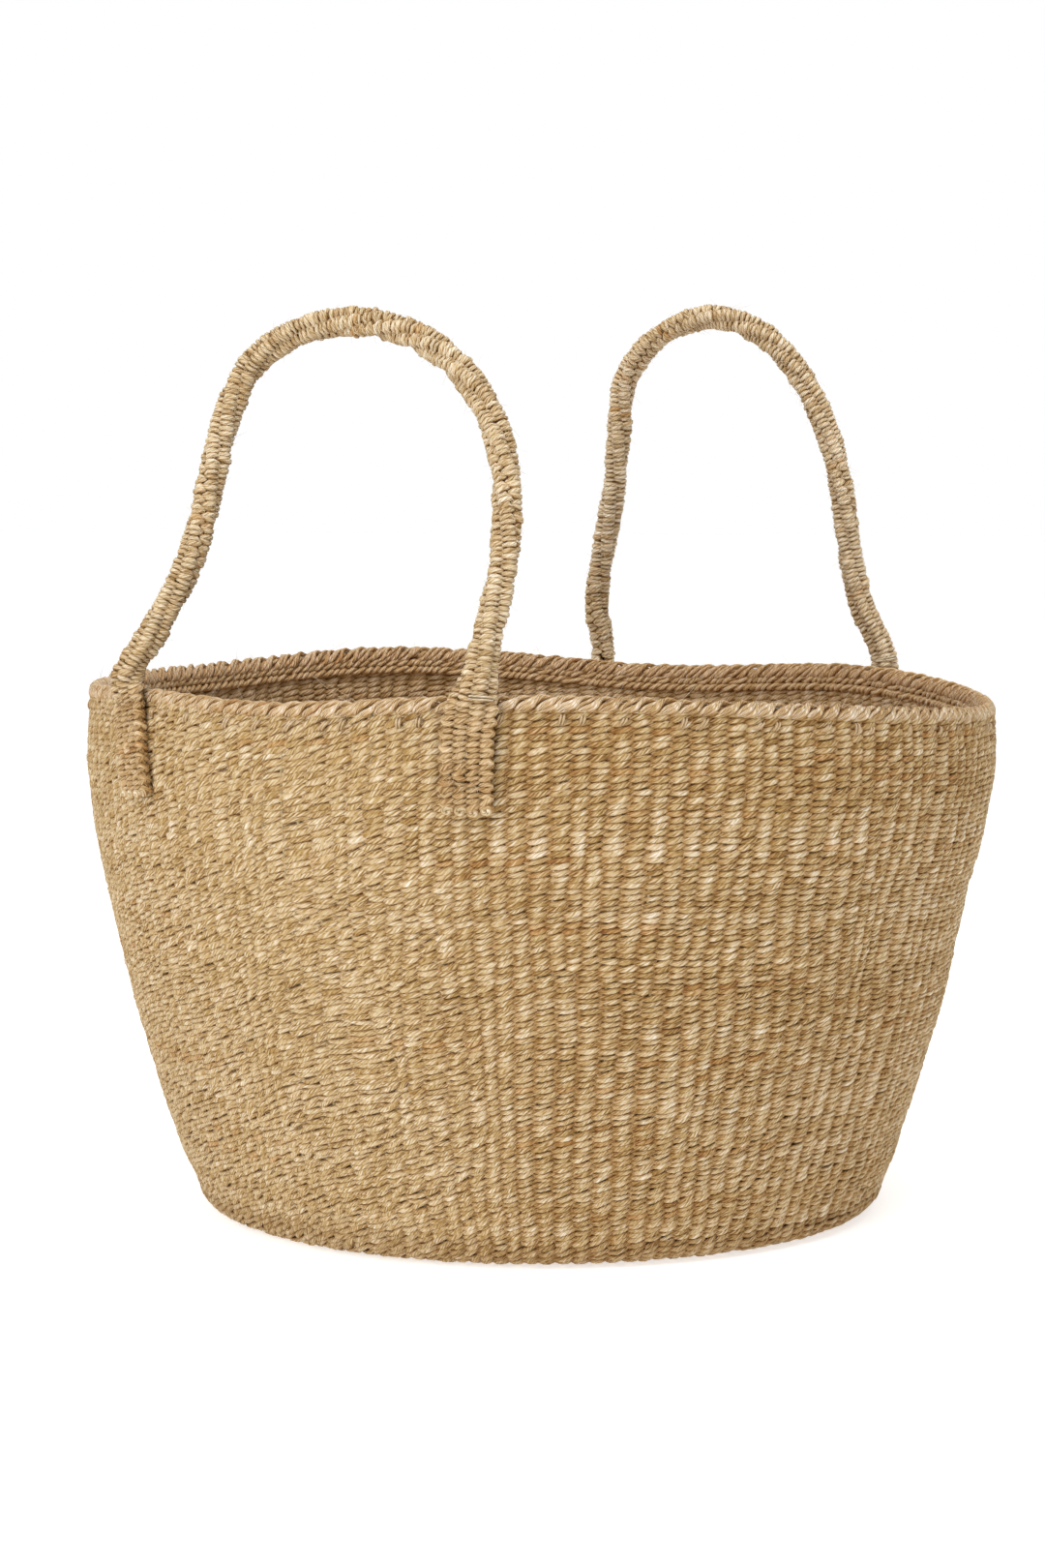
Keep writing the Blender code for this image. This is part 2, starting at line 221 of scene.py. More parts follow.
def rim_wave(angle):
    """How far the rim stands above its level, on a soft curve through the table."""
    degrees = np.array([entry[0] for entry in RIM_WAVE], float)
    heights = np.array([entry[1] for entry in RIM_WAVE], float) * MM
    fine = np.arange(0.0, 360.0)
    rough = np.interp(fine, degrees, heights, period=360.0)
    soft = np.exp(-0.5 * (np.arange(-30, 31) / 9.0) ** 2)
    curve = np.convolve(np.concatenate([rough[-30:], rough, rough[:30]]), soft / soft.sum(), mode="valid")
    return np.interp(np.degrees(angle), fine, curve, period=360.0)


def ease(value):
    """Runs softly from 0 to 1."""
    value = np.clip(value, 0.0, 1.0)
    return value * value * (3 - 2 * value)


def wave_share(height):
    return ease((height - WAVE_FOOT) / (cad_rim - WAVE_FOOT))


cad_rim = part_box("rim_braid")[1].z


def follow_rim(points):
    """Moves points of the cloth with the rim's wave above them and the wall's own lean and bulge."""
    angle = np.arctan2(points[..., 1], points[..., 0])
    height, lean, wide = np.array(WALL_LEAN, float).T * MM
    outer = np.clip((np.hypot(points[..., 0], points[..., 1]) - 90 * MM) / (55 * MM), 0.0, 1.0)
    wide = outer * np.interp(points[..., 2], height, wide)
    lean = -outer * np.interp(points[..., 2], height, lean)
    moved = points.copy()
    moved[..., 0] += wide * np.cos(angle) + lean * math.cos(PHOTO_TURN)
    moved[..., 1] += wide * np.sin(angle) + lean * math.sin(PHOTO_TURN)
    moved[..., 2] += rim_wave(angle) * wave_share(points[..., 2])
    return moved


def loose_share(angle):
    """From 0 to 1: how loosely the rows were packed, most on the photograph's left side."""
    toward = np.cos(angle - math.radians(-130.0))
    return ease((toward - 0.25) / 0.5)


print("rim top at mm:", round(cad_rim / MM, 1), "wave from", min(w for _, w in RIM_WAVE), "to",
      max(w for _, w in RIM_WAVE))

# %% [markdown]
# ## Laying a strand
#
# Every strand is a flattened tube: oval rings along a path. One function skins the rings and keeps,
# for the finish, how far along and how far round each corner lies (the UV map) and three measures of
# the fibre: its tone, how rusty it is (on the inside faces and the rear strap it also holds painted warm
# bounce light), and painted shade, which darkens it where it is tucked between its neighbours and along
# its upper and lower edges. Thousands of rings are laid at once with numpy, because the modelling
# operators would take hours for them.

# %% Strand sweep
SIDES = 6
LAY = 13.0 * MM


def sweep(centres, normals, high, thick, fibre, sides=SIDES, lay=LAY):
    """Skins oval rings. centres, normals: (runs, rings, 3). high, thick: half sizes. fibre: (runs, rings, 3)."""
    runs, rings = centres.shape[:2]
    forward = unit(np.gradient(centres, axis=1))
    out = unit(normals - (normals * forward).sum(-1, keepdims=True) * forward)
    up = np.cross(out, forward)
    turn = 2 * math.pi * (np.arange(sides) + 0.5) / sides
    high = np.broadcast_to(high, (runs, rings))[..., None, None]
    thick = np.broadcast_to(thick, (runs, rings))[..., None, None]
    corners = (centres[:, :, None] + out[:, :, None] * thick * np.cos(turn)[:, None]
               + up[:, :, None] * high * np.sin(turn)[:, None])
    # Painted shade: the third measure is raised towards the upper and lower edge of every ring, which darkens the
    # lines between rows, where shade falls.
    edge = np.abs(np.sin(turn)) ** 3
    marks = np.repeat(fibre[:, :, None], sides, axis=2)
    marks[..., 2] = np.maximum(marks[..., 2], 0.9 * edge)
    step = np.linalg.norm(np.diff(centres, axis=1), axis=2)
    lay = np.broadcast_to(lay, (runs, rings))[:, 1:]
    length = np.concatenate([np.zeros((runs, 1)), np.cumsum(step / lay, axis=1)], axis=1)
    index = np.arange(runs * rings * sides).reshape(runs, rings, sides)
    after = np.roll(index, -1, axis=2)
    quads = np.stack([index[:, :-1], index[:, 1:], after[:, 1:], after[:, :-1]], axis=-1).reshape(-1, 4)
    around = np.broadcast_to(np.arange(sides) / sides, index[:, :-1].shape)
    near = np.broadcast_to(length[:, :-1, None], around.shape)
    far = np.broadcast_to(length[:, 1:, None], around.shape)
    flat = np.stack([near, around, far, around, far, around + 1 / sides, near, around + 1 / sides], axis=-1)
    caps = np.concatenate([index[:, 0], index[:, -1, ::-1]])
    return {"corners": corners.reshape(-1, 3), "marks": marks.reshape(-1, 3), "quads": quads,
            "uv": flat.reshape(-1, 2), "caps": caps}


def make_piece(name, parts):
    """One mesh object from swept parts, all with the same number of sides."""
    starts = np.cumsum([0] + [len(part["corners"]) for part in parts])
    corners = np.concatenate([part["corners"] for part in parts])
    quads = np.concatenate([part["quads"] + start for part, start in zip(parts, starts)])
    caps = np.concatenate([part["caps"] + start for part, start in zip(parts, starts)])
    sizes = np.concatenate([np.full(len(quads), 4), np.full(len(caps), caps.shape[1])])
    mesh = bpy.data.meshes.new(name)
    mesh.vertices.add(len(corners))
    mesh.vertices.foreach_set("co", corners.astype(np.float32).ravel())
    mesh.loops.add(int(sizes.sum()))
    mesh.loops.foreach_set("vertex_index", np.concatenate([quads.ravel(), caps.ravel()]).astype(np.int32))
    mesh.polygons.add(len(sizes))
    mesh.polygons.foreach_set("loop_start", (np.cumsum(sizes) - sizes).astype(np.int32))
    flat = np.concatenate([part["uv"] for part in parts] + [np.zeros((caps.size, 2))])
    mesh.uv_layers.new(name="lay").data.foreach_set("uv", flat.astype(np.float32).ravel())
    marks = mesh.attributes.new("fibre", "FLOAT_VECTOR", "POINT")
    marks.data.foreach_set("vector", np.concatenate([part["marks"] for part in parts]).astype(np.float32).ravel())
    mesh.update(calc_edges=True)
    mesh.validate()
    mesh.shade_smooth()
    piece = bpy.data.objects.new(name, mesh)
    bpy.context.scene.collection.objects.link(piece)
    print(name, "triangles", int((sizes - 2).sum()))
    return piece


# %% [markdown]
# ## Two-strand twining
#
# Two strands travel together. At each stake one passes in front and the other behind, and between the
# stakes they change places with half a twist. Seen from outside, each stake shows one slanted stitch,
# pointed where it dives between its neighbours. The twist always goes the same way, so all stitches
# rise to the right.
#
# With a phase that grows by half a turn from stake to stake, the depth is a cosine and the lift a sine,
# which is the twist itself. A stitch is widest in front of its stake and narrow in the crossing.

# %% Twist
FRONT_RINGS = (-0.40, -0.14, 0.14, 0.40)
BACK_RINGS = (0.68, 1.0, 1.32)
STITCH_RINGS = np.array(FRONT_RINGS + BACK_RINGS)


def twist(phase, fullness):
    """Depth from -1 (behind) to 1 (in front), lift from -1 to 1, and how full the stitch is, 0 to 1."""
    across = np.cos(phase)
    full = np.abs(across) ** fullness
    return np.sign(across) * full, np.sin(phase), full


def strand_marks(stitches, places, rust_rate):
    """Tone and rust for each stitch of a strand: drifts over rows and stitches, jumps, rare rusty runs."""
    slow = np.convolve(rng.normal(size=stitches + 24), np.ones(25) / 5.0, mode="valid")
    lot = np.convolve(rng.normal(size=stitches + 320), np.ones(321) / 18.0, mode="valid")
    tone = 0.4 * slow + 0.4 * lot + 0.6 * rng.normal(size=stitches) + 0.12 * places
    runs = (rng.random(stitches) < rust_rate).astype(float) * rng.uniform(0.4, 1.0, stitches)
    rust = np.convolve(runs, np.ones(4), mode="same")
    return tone, np.clip(0.7 * rust + 0.08 * np.abs(rng.normal(size=stitches)), 0.0, 1.0)


# %% [markdown]
# ## The spiral of rows
#
# The base starts with a few stakes, and new ones go in as it grows, so that the stitches keep their
# length. The wall has 138 stakes at first and 156 from half its height. A new stake is squeezed in
# between two others, and its neighbours make room for it over the next rows. The rows are 2.3 mm apart
# below and 2.6 mm above, as counted on the photograph.
#
# The loop goes round in steps of a quarter of a degree and adds up how many stakes it has passed, so
# each stake gets its angle and its distance along the cloth.

# %% Spiral
ROW_START = 5 * MM
SPIRAL_STEP = math.radians(0.25)
CHANGE = along_at_height(0.122)
CORNER = along_at_height(0.012)
TOP = line_length[-1] + 1.2 * MM
START_ANGLE = math.radians(131.0)

STAKE_JITTER = 0.08
LOOSE_JITTER = 0.07
FIRST_STAKES = 14
# Distance along the cloth where stakes go in, how many, and over what distance
ADDED_STAKES = (
    (20 * MM, 14, 3 * MM), (41 * MM, 28, 4 * MM), (74 * MM, 40, 6 * MM), (106 * MM, 42, 6 * MM),
    (CHANGE, 18, 12 * MM),
)
# Distance along the cloth, and distance between rows there
ROWS = (
    (0.0, 3.1 * MM), (115 * MM, 3.1 * MM), (CORNER, 2.45 * MM), (CORNER + 20 * MM, 2.29 * MM),
    (CHANGE, 2.29 * MM), (CHANGE + 6 * MM, 2.6 * MM), (CHANGE + 20 * MM, 2.4 * MM),
    (CHANGE + 30 * MM, 2.3 * MM), (CHANGE + 44 * MM, 2.62 * MM), (1.0, 2.62 * MM),
)


def from_table(table, along):
    return np.interp(along, [entry[0] for entry in table], [entry[1] for entry in table])


def stake_density(angle, along):
    """Stakes per radian: the first ones evenly, and each later one as a bump that spreads as rows go by."""
    density = np.full(len(angle), FIRST_STAKES / (2 * math.pi))
    total = FIRST_STAKES
    for start, count, spread in ADDED_STAKES:
        for number in range(count):
            middle = 2 * math.pi * (number + 0.3 * rng.uniform(-1, 1)) / count
            begin = start + rng.uniform(-0.5, 0.5) * spread
            reached = along > begin
            past = np.clip((along[reached] - begin) / (25 * MM), 0.0, 1.0)
            half = 2 * math.pi * (2.0 / total * (1 - past) + 1.0 / count * past)
            away = np.abs((angle[reached] - middle + math.pi) % (2 * math.pi) - math.pi)
            bump = np.where(away < half, 1 + np.cos(math.pi * np.minimum(away / half, 1.0)), 0.0)
            density[reached] += bump / (2 * half)
        total += count
    return density


def walk_spiral():
    """Angle and distance of every stake that the rows pass, from the centre of the base to the rim."""
    angle, along = START_ANGLE, ROW_START
    turns = [(angle, along)]
    while along < TOP:
        angle += SPIRAL_STEP
        along += float(from_table(ROWS, along)) * SPIRAL_STEP / (2 * math.pi)
        turns.append((angle, along))
    angle, along = np.array(turns).T
    passed = np.cumsum(stake_density(angle, along)) * SPIRAL_STEP
    stake = np.arange(int(passed[0]) + 1, int(passed[-1]))
    middle = np.interp(stake, passed, angle)
    jitter = STAKE_JITTER + LOOSE_JITTER * loose_share(middle)
    middle += jitter * np.gradient(middle) * rng.normal(size=len(middle))
    return np.stack([middle, np.interp(stake, passed, along)], axis=1)


spiral = walk_spiral()
print("stitches on one face:", len(spiral), "end at degrees:", round(math.degrees(spiral[-1, 0]) % 360.0, 1))

# %% [markdown]
# ## Wall and base
#
# Each of the two strands is laid along the whole spiral. The stitch in front of a stake is about 7 mm
# long, as high as the row, and 2 mm thick. Behind, inside the basket, it has the same shape; its colour
# there is painted lighter and warm, as painted bounce light, with a little painted shade. The long
# strands are cut into bands only to keep each piece light.

# %% Twined cloth
STRAND_THICK = 0.98 * MM
TWIST_DEPTH = 1.5 * MM
LOW_LIFT = 0.38
HIGH_LIFT = 0.25
LOOSE_LIFT = 0.07
FULL_SHARE = 0.60
NARROW_SHARE = 0.41
# Painted light and shade on the inside faces of the stitches: a share of the outer crease shade, a lighter tone and a
# warm tint in the rust measure, as painted warm bounce light, and a little more painted shade.
INSIDE_CREASE_SHADE = 0.8
INSIDE_PAINTED_LIGHT = 3.2
INSIDE_PAINTED_WARMTH = 0.5
INSIDE_SHADE = 0.1
BAND_STITCHES = 2050


def cloth_strand(parity):
    """The rings of one of the two strands, from the base's centre to the rim."""
    stitches = (len(spiral) - 3) // 2
    places = (2 * np.arange(stitches)[:, None] + 1 + parity + STITCH_RINGS).ravel()
    phase = math.pi * (places - 1 - parity)
    count = np.arange(len(spiral))
    angle = np.interp(places, count, spiral[:, 0])
    along = np.interp(places, count, spiral[:, 1])
    pitch = from_table(ROWS, along)
    depth, lift, full = twist(phase, 0.75)
    sway = np.clip((along - CORNER) / (60 * MM), 0.15, 1.0)
    angle = angle + 0.9 * MM * sway * stake_sway(angle, along) / np.maximum(mid_radius(along), 20 * MM)
    rings = len(STITCH_RINGS)
    size = np.repeat(1.0 + 0.09 * rng.normal(size=stitches), rings)
    push = np.repeat(0.14 * MM * rng.normal(size=stitches), rings)
    jog = np.repeat(0.10 * MM * rng.normal(size=stitches), rings)
    steep = np.repeat(1.0 + 0.30 * rng.normal(size=stitches), rings)
    low = np.clip((CHANGE - along) / (60 * MM), 0.0, 1.0)
    loose = loose_share(angle)
    rise = HIGH_LIFT + (LOW_LIFT - HIGH_LIFT) * low + LOOSE_LIFT * loose
    lay = LAY * (1.1 - 0.3 * low) * np.repeat(rng.uniform(0.75, 1.35, stitches), rings)
    lifted = along + rise * pitch * lift * steep + jog + 0.5 * MM * sway * row_sway(angle, along)
    lifted = np.minimum(lifted, line_length[-1])
    bulge = 0.5 * MM * sway * bulge_sway(angle, along)
    centres = follow_rim(on_fabric(lifted, angle, (TWIST_DEPTH + push) * depth + bulge))
    high = pitch * (NARROW_SHARE + (FULL_SHARE - NARROW_SHARE) * full) * size * (1.0 + 0.08 * loose)
    thick = STRAND_THICK * (1.15 - 0.15 * full) * size
    spots = tone_sway(angle, along)[::rings]
    tone, rust = strand_marks(stitches, spots, 0.007)
    # Painted shade: the crease tint darkens each stitch where it narrows and dives between its neighbours, less on
    # the loosely packed side. The inside faces get a lighter tone and a warm tint, as painted bounce light.
    crease_shade = (1.25 - 0.8 * loose) * (1.0 - full) * np.where(depth > 0, 1.0, INSIDE_CREASE_SHADE)
    inner = np.maximum(-depth, 0.0)
    tone = np.repeat(tone, rings) * (1.0 - 0.35 * loose) + INSIDE_PAINTED_LIGHT * inner
    rust = np.repeat(rust, rings) + INSIDE_PAINTED_WARMTH * inner
    fibre = np.stack([tone, rust, crease_shade + INSIDE_SHADE * inner], axis=-1)
    return centres, fabric_normal(along, angle), high, thick, fibre, lay


def cloth_bands():
    """The two strands, cut into bands of rows."""
    strands = [cloth_strand(parity) for parity in (0, 1)]
    corner_stitch = int(np.searchsorted(spiral[:, 1], CORNER) / 2)
    stitches = (len(spiral) - 3) // 2
    cuts = list(np.linspace(0, corner_stitch, 3).astype(int))
    bands = math.ceil(2 * (stitches - corner_stitch) / BAND_STITCHES)
    cuts += list(np.linspace(corner_stitch, stitches, bands + 1).astype(int))[1:]
    pieces = []
    for number, (first, last) in enumerate(zip(cuts, cuts[1:])):
        name = f"base_rows_{number + 1}" if number < 2 else f"wall_rows_{number - 1}"
        parts = []
        for centres, normals, high, thick, fibre, lay in strands:
            rings = slice(first * len(STITCH_RINGS), last * len(STITCH_RINGS) + 1)
            parts.append(sweep(centres[None, rings], normals[None, rings], high[None, rings],
                               thick[None, rings], fibre[None, rings], lay=lay[None, rings]))
        pieces.append(make_piece(name, parts))
    return pieces


cloth_pieces = cloth_bands()

# %% [markdown]
# ## The start of the base
#
# The work begins at the middle of the base, where the first stakes cross and are bound by a strand
# that is wound round them in a small flat coil. The coil fills the middle that the spiral of rows
# leaves open, and the first row goes round it.

# %% Start coil
COIL_TURNS = 2.4
COIL_INNER = 0.6 * MM
COIL_OUTER = 5.4 * MM
COIL_POINTS = 60
COIL_WIDE = 1.45 * MM
COIL_THICK = 2.0 * MM


def start_coil():
    """One strand wound flat, from the middle out to the first row."""
    share = np.linspace(0.0, 1.0, COIL_POINTS)
    turn = 2 * math.pi * COIL_TURNS * share
    radius = COIL_INNER + (COIL_OUTER - COIL_INNER) * share
    centres = np.stack([radius * np.cos(turn), radius * np.sin(turn), 0.0 * turn + 0.5 * FABRIC], axis=-1)
    upward = np.broadcast_to((0.0, 0.0, 1.0), centres.shape)
    fibre = np.zeros((1, COIL_POINTS, 3))
    fibre[..., 0] = 0.5
    return sweep(centres[None], upward[None], COIL_WIDE, COIL_THICK, fibre)


base_coil = make_piece("base_start_coil", [start_coil()])

# %% [markdown]
# ## The stakes
#
# The stakes are stiff sisal cords that the rows hide almost wholly. They fill the cloth from inside
# and show as shadowed cores where two stitches part. One is modelled by hand: a small circle at the
# corner of the base, extruded step by step up the line of the wall. The others are copies of it.

# %% Stakes
STAKE_RADIUS = 0.8 * MM
STAKE_STEP = 14 * MM


def model_stake(name, start, end):
    """A stake in the plane of the X axis, extruded along the middle of the cloth."""
    count = max(2, round((end - start) / STAKE_STEP))
    places = [Vector(on_fabric(along, 0.0)) for along in np.linspace(start, end, count + 1)]
    bpy.ops.mesh.primitive_circle_add(vertices=5, radius=STAKE_RADIUS, fill_type="NGON", location=places[0])
    stake = bpy.context.object
    stake.name = name
    bpy.ops.object.mode_set(mode="EDIT")
    bpy.ops.mesh.select_all(action="SELECT")
    for before, after in zip(places, places[1:]):
        bpy.ops.mesh.extrude_region_move(TRANSFORM_OT_translate={"value": after - before})
    bpy.ops.mesh.select_all(action="SELECT")
    bpy.ops.mesh.normals_make_consistent(inside=False)
    bpy.ops.object.mode_set(mode="OBJECT")
    bpy.ops.object.transform_apply(location=True, rotation=True, scale=True)
    bpy.ops.object.shade_smooth()
    bpy.ops.object.select_all(action="DESELECT")
    return stake


def copy_round(model, angles):
    """Copies of a model turned about the upright axis, joined into one piece; the model itself is removed."""
    for angle in angles:
        copy = model.copy()
        copy.data = model.data.copy()
        copy.data.transform(Matrix.Rotation(angle, 4, "Z"))
        bpy.context.scene.collection.objects.link(copy)
        copy.select_set(True)
    copies = list(bpy.context.selected_objects)
    bpy.data.objects.remove(model)
    bpy.context.view_layer.objects.active = copies[0]
    bpy.ops.object.join()
    joined = bpy.context.object
    bpy.ops.object.select_all(action="DESELECT")
    return joined


def stake_ring(name, start, end):
    first = int(np.searchsorted(spiral[:, 1], 0.5 * (start + end)))
    count = int(np.searchsorted(spiral[:, 0], spiral[first, 0] + 2 * math.pi - 1e-6)) - first
    ring = copy_round(model_stake(name, start, end), spiral[first:first + count, 0])
    ring.name = name
    place = np.empty(3 * len(ring.data.vertices), np.float32)
    ring.data.vertices.foreach_get("co", place)
    place = follow_rim(place.reshape(-1, 3).astype(float))
    ring.data.vertices.foreach_set("co", place.astype(np.float32).ravel())
    ring.data.uv_layers.new(name="lay")
    print(name, "stakes", count)
    return ring


lower_stakes = stake_ring("lower_stakes", CORNER - 4 * MM, CHANGE + 2 * MM)
upper_stakes = stake_ring("upper_stakes", CHANGE, TOP - 1 * MM)

# %% [markdown]
# ## The border
#
# At the rim each stake ends as a pair of strands. The pair comes out of the wall, slants up to the
# right like a fat stitch, bends over the top as a small knuckle and lies slantwise down the inside,
# where it is tucked in. Side by side these pairs make the bumps along the edge and the band inside.
#
# The band is thought of as unrolled: one measure goes round the rim, the other down the outside, over
# the top and down the inside. One pair's route is drawn in these two, and a section line says where
# each of its points lies. The route is repeated at every stake, each time a little different.

# %% Border strands
# Stake pitches to the right, millimetres outwards from the cloth's middle, millimetres above the rim's
# level, how far the two strands lie apart, and how thick they are
BORDER_ROUTE = (
    (0.35, 0.6, -4.9, 0.6, 0.85), (0.50, 1.5, -4.3, 0.8, 1.0), (0.72, 2.1, -3.5, 0.95, 1.15),
    (0.96, 2.1, -2.6, 0.95, 1.2), (1.18, 1.8, -1.7, 0.75, 1.2), (1.38, 1.1, -0.5, 0.45, 1.15),
    (1.60, 0.2, 0.1, 0.35, 1.1), (1.84, -0.8, -0.4, 0.5, 1.15), (2.06, -1.9, -1.5, 0.9, 1.25),
    (2.28, -2.8, -3.0, 1.15, 1.3), (2.50, -3.3, -4.4, 1.2, 1.3), (2.78, -3.1, -5.5, 1.0, 1.05),
    (2.96, -2.0, -6.0, 0.7, 0.8),
)
RIM_STAKES = 156
BORDER_POINTS = 21
BORDER_APART = 1.4 * MM
BORDER_THICK = 0.84 * MM


def smooth_route(controls, count):
    """Points on a curve that passes through every control, evenly spread."""
    controls = np.asarray(controls, float)
    chord = np.concatenate([[0.0], np.cumsum(np.linalg.norm(np.diff(controls[:, :3], axis=0), axis=1) ** 0.75)])
    slopes = np.gradient(controls, chord, axis=0)
    fine = np.linspace(0.0, chord[-1], 40 * len(controls))
    spot = np.clip(np.searchsorted(chord, fine, side="right") - 1, 0, len(chord) - 2)
    width = (chord[spot + 1] - chord[spot])[:, None]
    t = ((fine - chord[spot])[:, None]) / width
    curve = ((2 * t ** 3 - 3 * t ** 2 + 1) * controls[spot] + (t ** 3 - 2 * t ** 2 + t) * width * slopes[spot]
             + (3 * t ** 2 - 2 * t ** 3) * controls[spot + 1] + (t ** 3 - t ** 2) * width * slopes[spot + 1])
    length = np.concatenate([[0.0], np.cumsum(np.linalg.norm(np.diff(curve[:, :3], axis=0), axis=1))])
    even = np.linspace(0.0, length[-1], count)
    return np.stack([np.interp(even, length, curve[:, axis]) for axis in range(controls.shape[1])], axis=1)


rim_radius = float(middle_line[-1, 0])
stake_pitch = 2 * math.pi * rim_radius / RIM_STAKES


def border_strands(which):
    """One strand of every stake: which runs from -1 for the lower left one to 1 for the upper right one."""
    route = np.array(BORDER_ROUTE)
    route[:, 0] *= stake_pitch / MM
    path = smooth_route(route, BORDER_POINTS)
    right, out, up, apart, size = path.T
    down = np.concatenate([[0.0], np.cumsum(np.hypot(np.diff(out), np.diff(up)))])
    slope = unit(np.stack([np.gradient(right), np.gradient(down)], axis=1))
    loose = rng.normal(size=(RIM_STAKES, 5))
    arch = np.sin(np.linspace(0.0, math.pi, BORDER_POINTS))
    inner = np.linspace(0.0, 1.0, BORDER_POINTS) ** 2
    shift = which * (BORDER_APART / MM) * apart * (1.0 + 0.3 * loose[:, :1] * arch)
    moved_right = right + shift * slope[:, 1] + (0.45 + inner) * loose[:, 1:2]
    moved_down = down - shift * slope[:, 0] + (0.3 + 0.5 * inner) * loose[:, 2:3] * arch
    moved_down = np.clip(moved_down, 0.0, down[-1])
    start = 2 * math.pi * np.arange(RIM_STAKES)[:, None] / RIM_STAKES
    angle = start + moved_right * MM / rim_radius
    proud = 0.22 * loose[:, 3:4] * arch
    radius = rim_radius + (np.interp(moved_down, down, out) + proud * np.interp(moved_down, down, out) / 4.0) * MM
    height = cad_rim + (np.interp(moved_down, down, up) + proud) * MM
    centres = follow_rim(np.stack([radius * np.cos(angle), radius * np.sin(angle), height], axis=-1))
    heart = np.array([rim_radius - 1.0 * MM, cad_rim - 6.0 * MM])
    normals = np.stack([(radius - heart[0]) * np.cos(angle), (radius - heart[0]) * np.sin(angle),
                        0.6 * (height - heart[1])], axis=-1)
    thick = BORDER_THICK * size * (1.0 + 0.08 * loose[:, 4:5])
    # Painted light and shade: where a pair lies down the inside of the rim, its tone is made lighter and its rust
    # measure gets a warm tint, as painted warm bounce light, with a little painted shade.
    tone = 0.3 + 0.8 * rng.normal(size=(RIM_STAKES, 1)) + 1.6 * np.clip(-out / 2.5, 0.0, 1.0)
    rust = 0.5 * (rng.random((RIM_STAKES, 1)) < 0.05) + 0.6 * np.clip(-out / 2.5, 0.0, 1.0)
    inside = np.broadcast_to(0.15 * np.clip(-out / 2.5, 0.0, 1.0), angle.shape)
    return sweep(centres, unit(normals), thick, thick, np.stack([tone, rust, inside], axis=-1))


border = make_piece("border_strands", [border_strands(which) for which in (-1, 0, 1)])

# %% [markdown]
# ## The cords inside the border
#
# The trimmed stake ends are laid along the rim and twisted into cords. The pairs bend over the first
# cord, and two more make a band down the inside of the wall, all three twisted the same way.

# %% Border cords
# Millimetres outwards from the cloth's middle, millimetres above the rim's level, and which way twisted
CORD_ROWS = ((-0.6, -3.1, 1), (-2.3, -7.0, 1), (-2.6, -10.3, 1))
CORD_STEPS = 6
CORD_TURNS = 140
CORD_TWIST = 1.05 * MM
CORD_STRAND = 1.15 * MM


def border_cord(out, up, hand):
    """A cord of two strands round the whole rim, closed on itself."""
    steps = RIM_STAKES * CORD_STEPS
    share = np.arange(steps + 1) / steps
    angle = 2 * math.pi * share
    wander = uneven_field((20, 70), (0, 1), 10)
    parts = []
    for strand in (0.0, math.pi):
        phase = hand * (2 * math.pi * CORD_TURNS * share + 0.9 * wander(angle, 0.0)) + strand
        radius = rim_radius + out * MM + CORD_TWIST * np.cos(phase)
        height = cad_rim + up * MM + CORD_TWIST * np.sin(phase)
        centres = follow_rim(np.stack([radius * np.cos(angle), radius * np.sin(angle), height], axis=-1))
        inward = np.stack([-np.cos(angle), -np.sin(angle), 0.0 * angle], axis=-1)
        # Painted shade: each strand is darkened with the crease tint on its outer side, where it presses into the
        # wall and lies under the border strands. The light tone and the warm rust measure of the cords are painted
        # warm bounce light, as on the inside of the wall.
        deep = 0.2 + 0.3 * (1.0 + np.cos(phase))
        fibre = np.stack([2.8 + 0.8 * wander(3 * angle, 0.0), 0.0 * angle + 0.6, deep], axis=-1)
        parts.append(sweep(centres[None], inward[None], CORD_STRAND, CORD_STRAND, fibre[None]))
    return parts


border_core = make_piece("border_cords", sum((border_cord(*row) for row in CORD_ROWS), []))

# %% [markdown]
# ## The tuck stitches
#
# Under the edge, a thread comes out of the wall at every second stake, runs down over two or three rows
# and goes in again. It holds the ends of the border inside. The stitches are flat and all a little
# different, because each is pulled tight by hand.

# %% Tuck stitches
# Millimetres to the right, above the rim's level and outwards from the cloth's middle
TUCK_ROUTE = ((0.6, -6.7, 0.9), (0.4, -7.3, 2.2), (0.1, -8.7, 2.7), (-0.2, -10.0, 2.2), (-0.4, -10.6, 0.8))
TUCK_POINTS = 9
TUCK_MIDDLE = -8.7 * MM


def tuck_stitches():
    """Threads in pairs, flat on the wall."""
    path = smooth_route(TUCK_ROUTE, TUCK_POINTS) * MM
    count = RIM_STAKES // 2
    chosen = 2 * np.arange(count) + rng.integers(0, 2, count)
    middle = 2 * math.pi * (chosen[:, None] + 0.5) / RIM_STAKES
    long = 1.0 + 0.18 * rng.normal(size=(count, 1))
    lean = 0.4 + 0.3 * rng.normal(size=(count, 1))
    height = cad_rim + TUCK_MIDDLE + (path[:, 1] - TUCK_MIDDLE) * long
    along = np.interp(height, middle_line[:, 1], line_length)
    tone = np.broadcast_to(0.1 + 0.6 * rng.normal(size=(count, 1)), height.shape)
    fibre = np.stack([tone, np.zeros(height.shape), np.zeros(height.shape)], axis=-1)
    parts = []
    for side in (-0.5, 0.5):
        right = path[:, 0] + side * 1.25 * MM + lean * (path[:, 1] - TUCK_MIDDLE)
        angle = middle + right / rim_radius
        centres = follow_rim(on_fabric(along, angle, path[:, 2] + 0.15 * MM * rng.normal(size=(count, 1))))
        wide = (0.32 + 0.36 * np.sin(np.linspace(0.0, math.pi, TUCK_POINTS))) * MM
        parts.append(sweep(centres, fabric_normal(along, angle), wide, 0.58 * MM, fibre))
    return parts


tucks = make_piece("tuck_stitches", tuck_stitches())
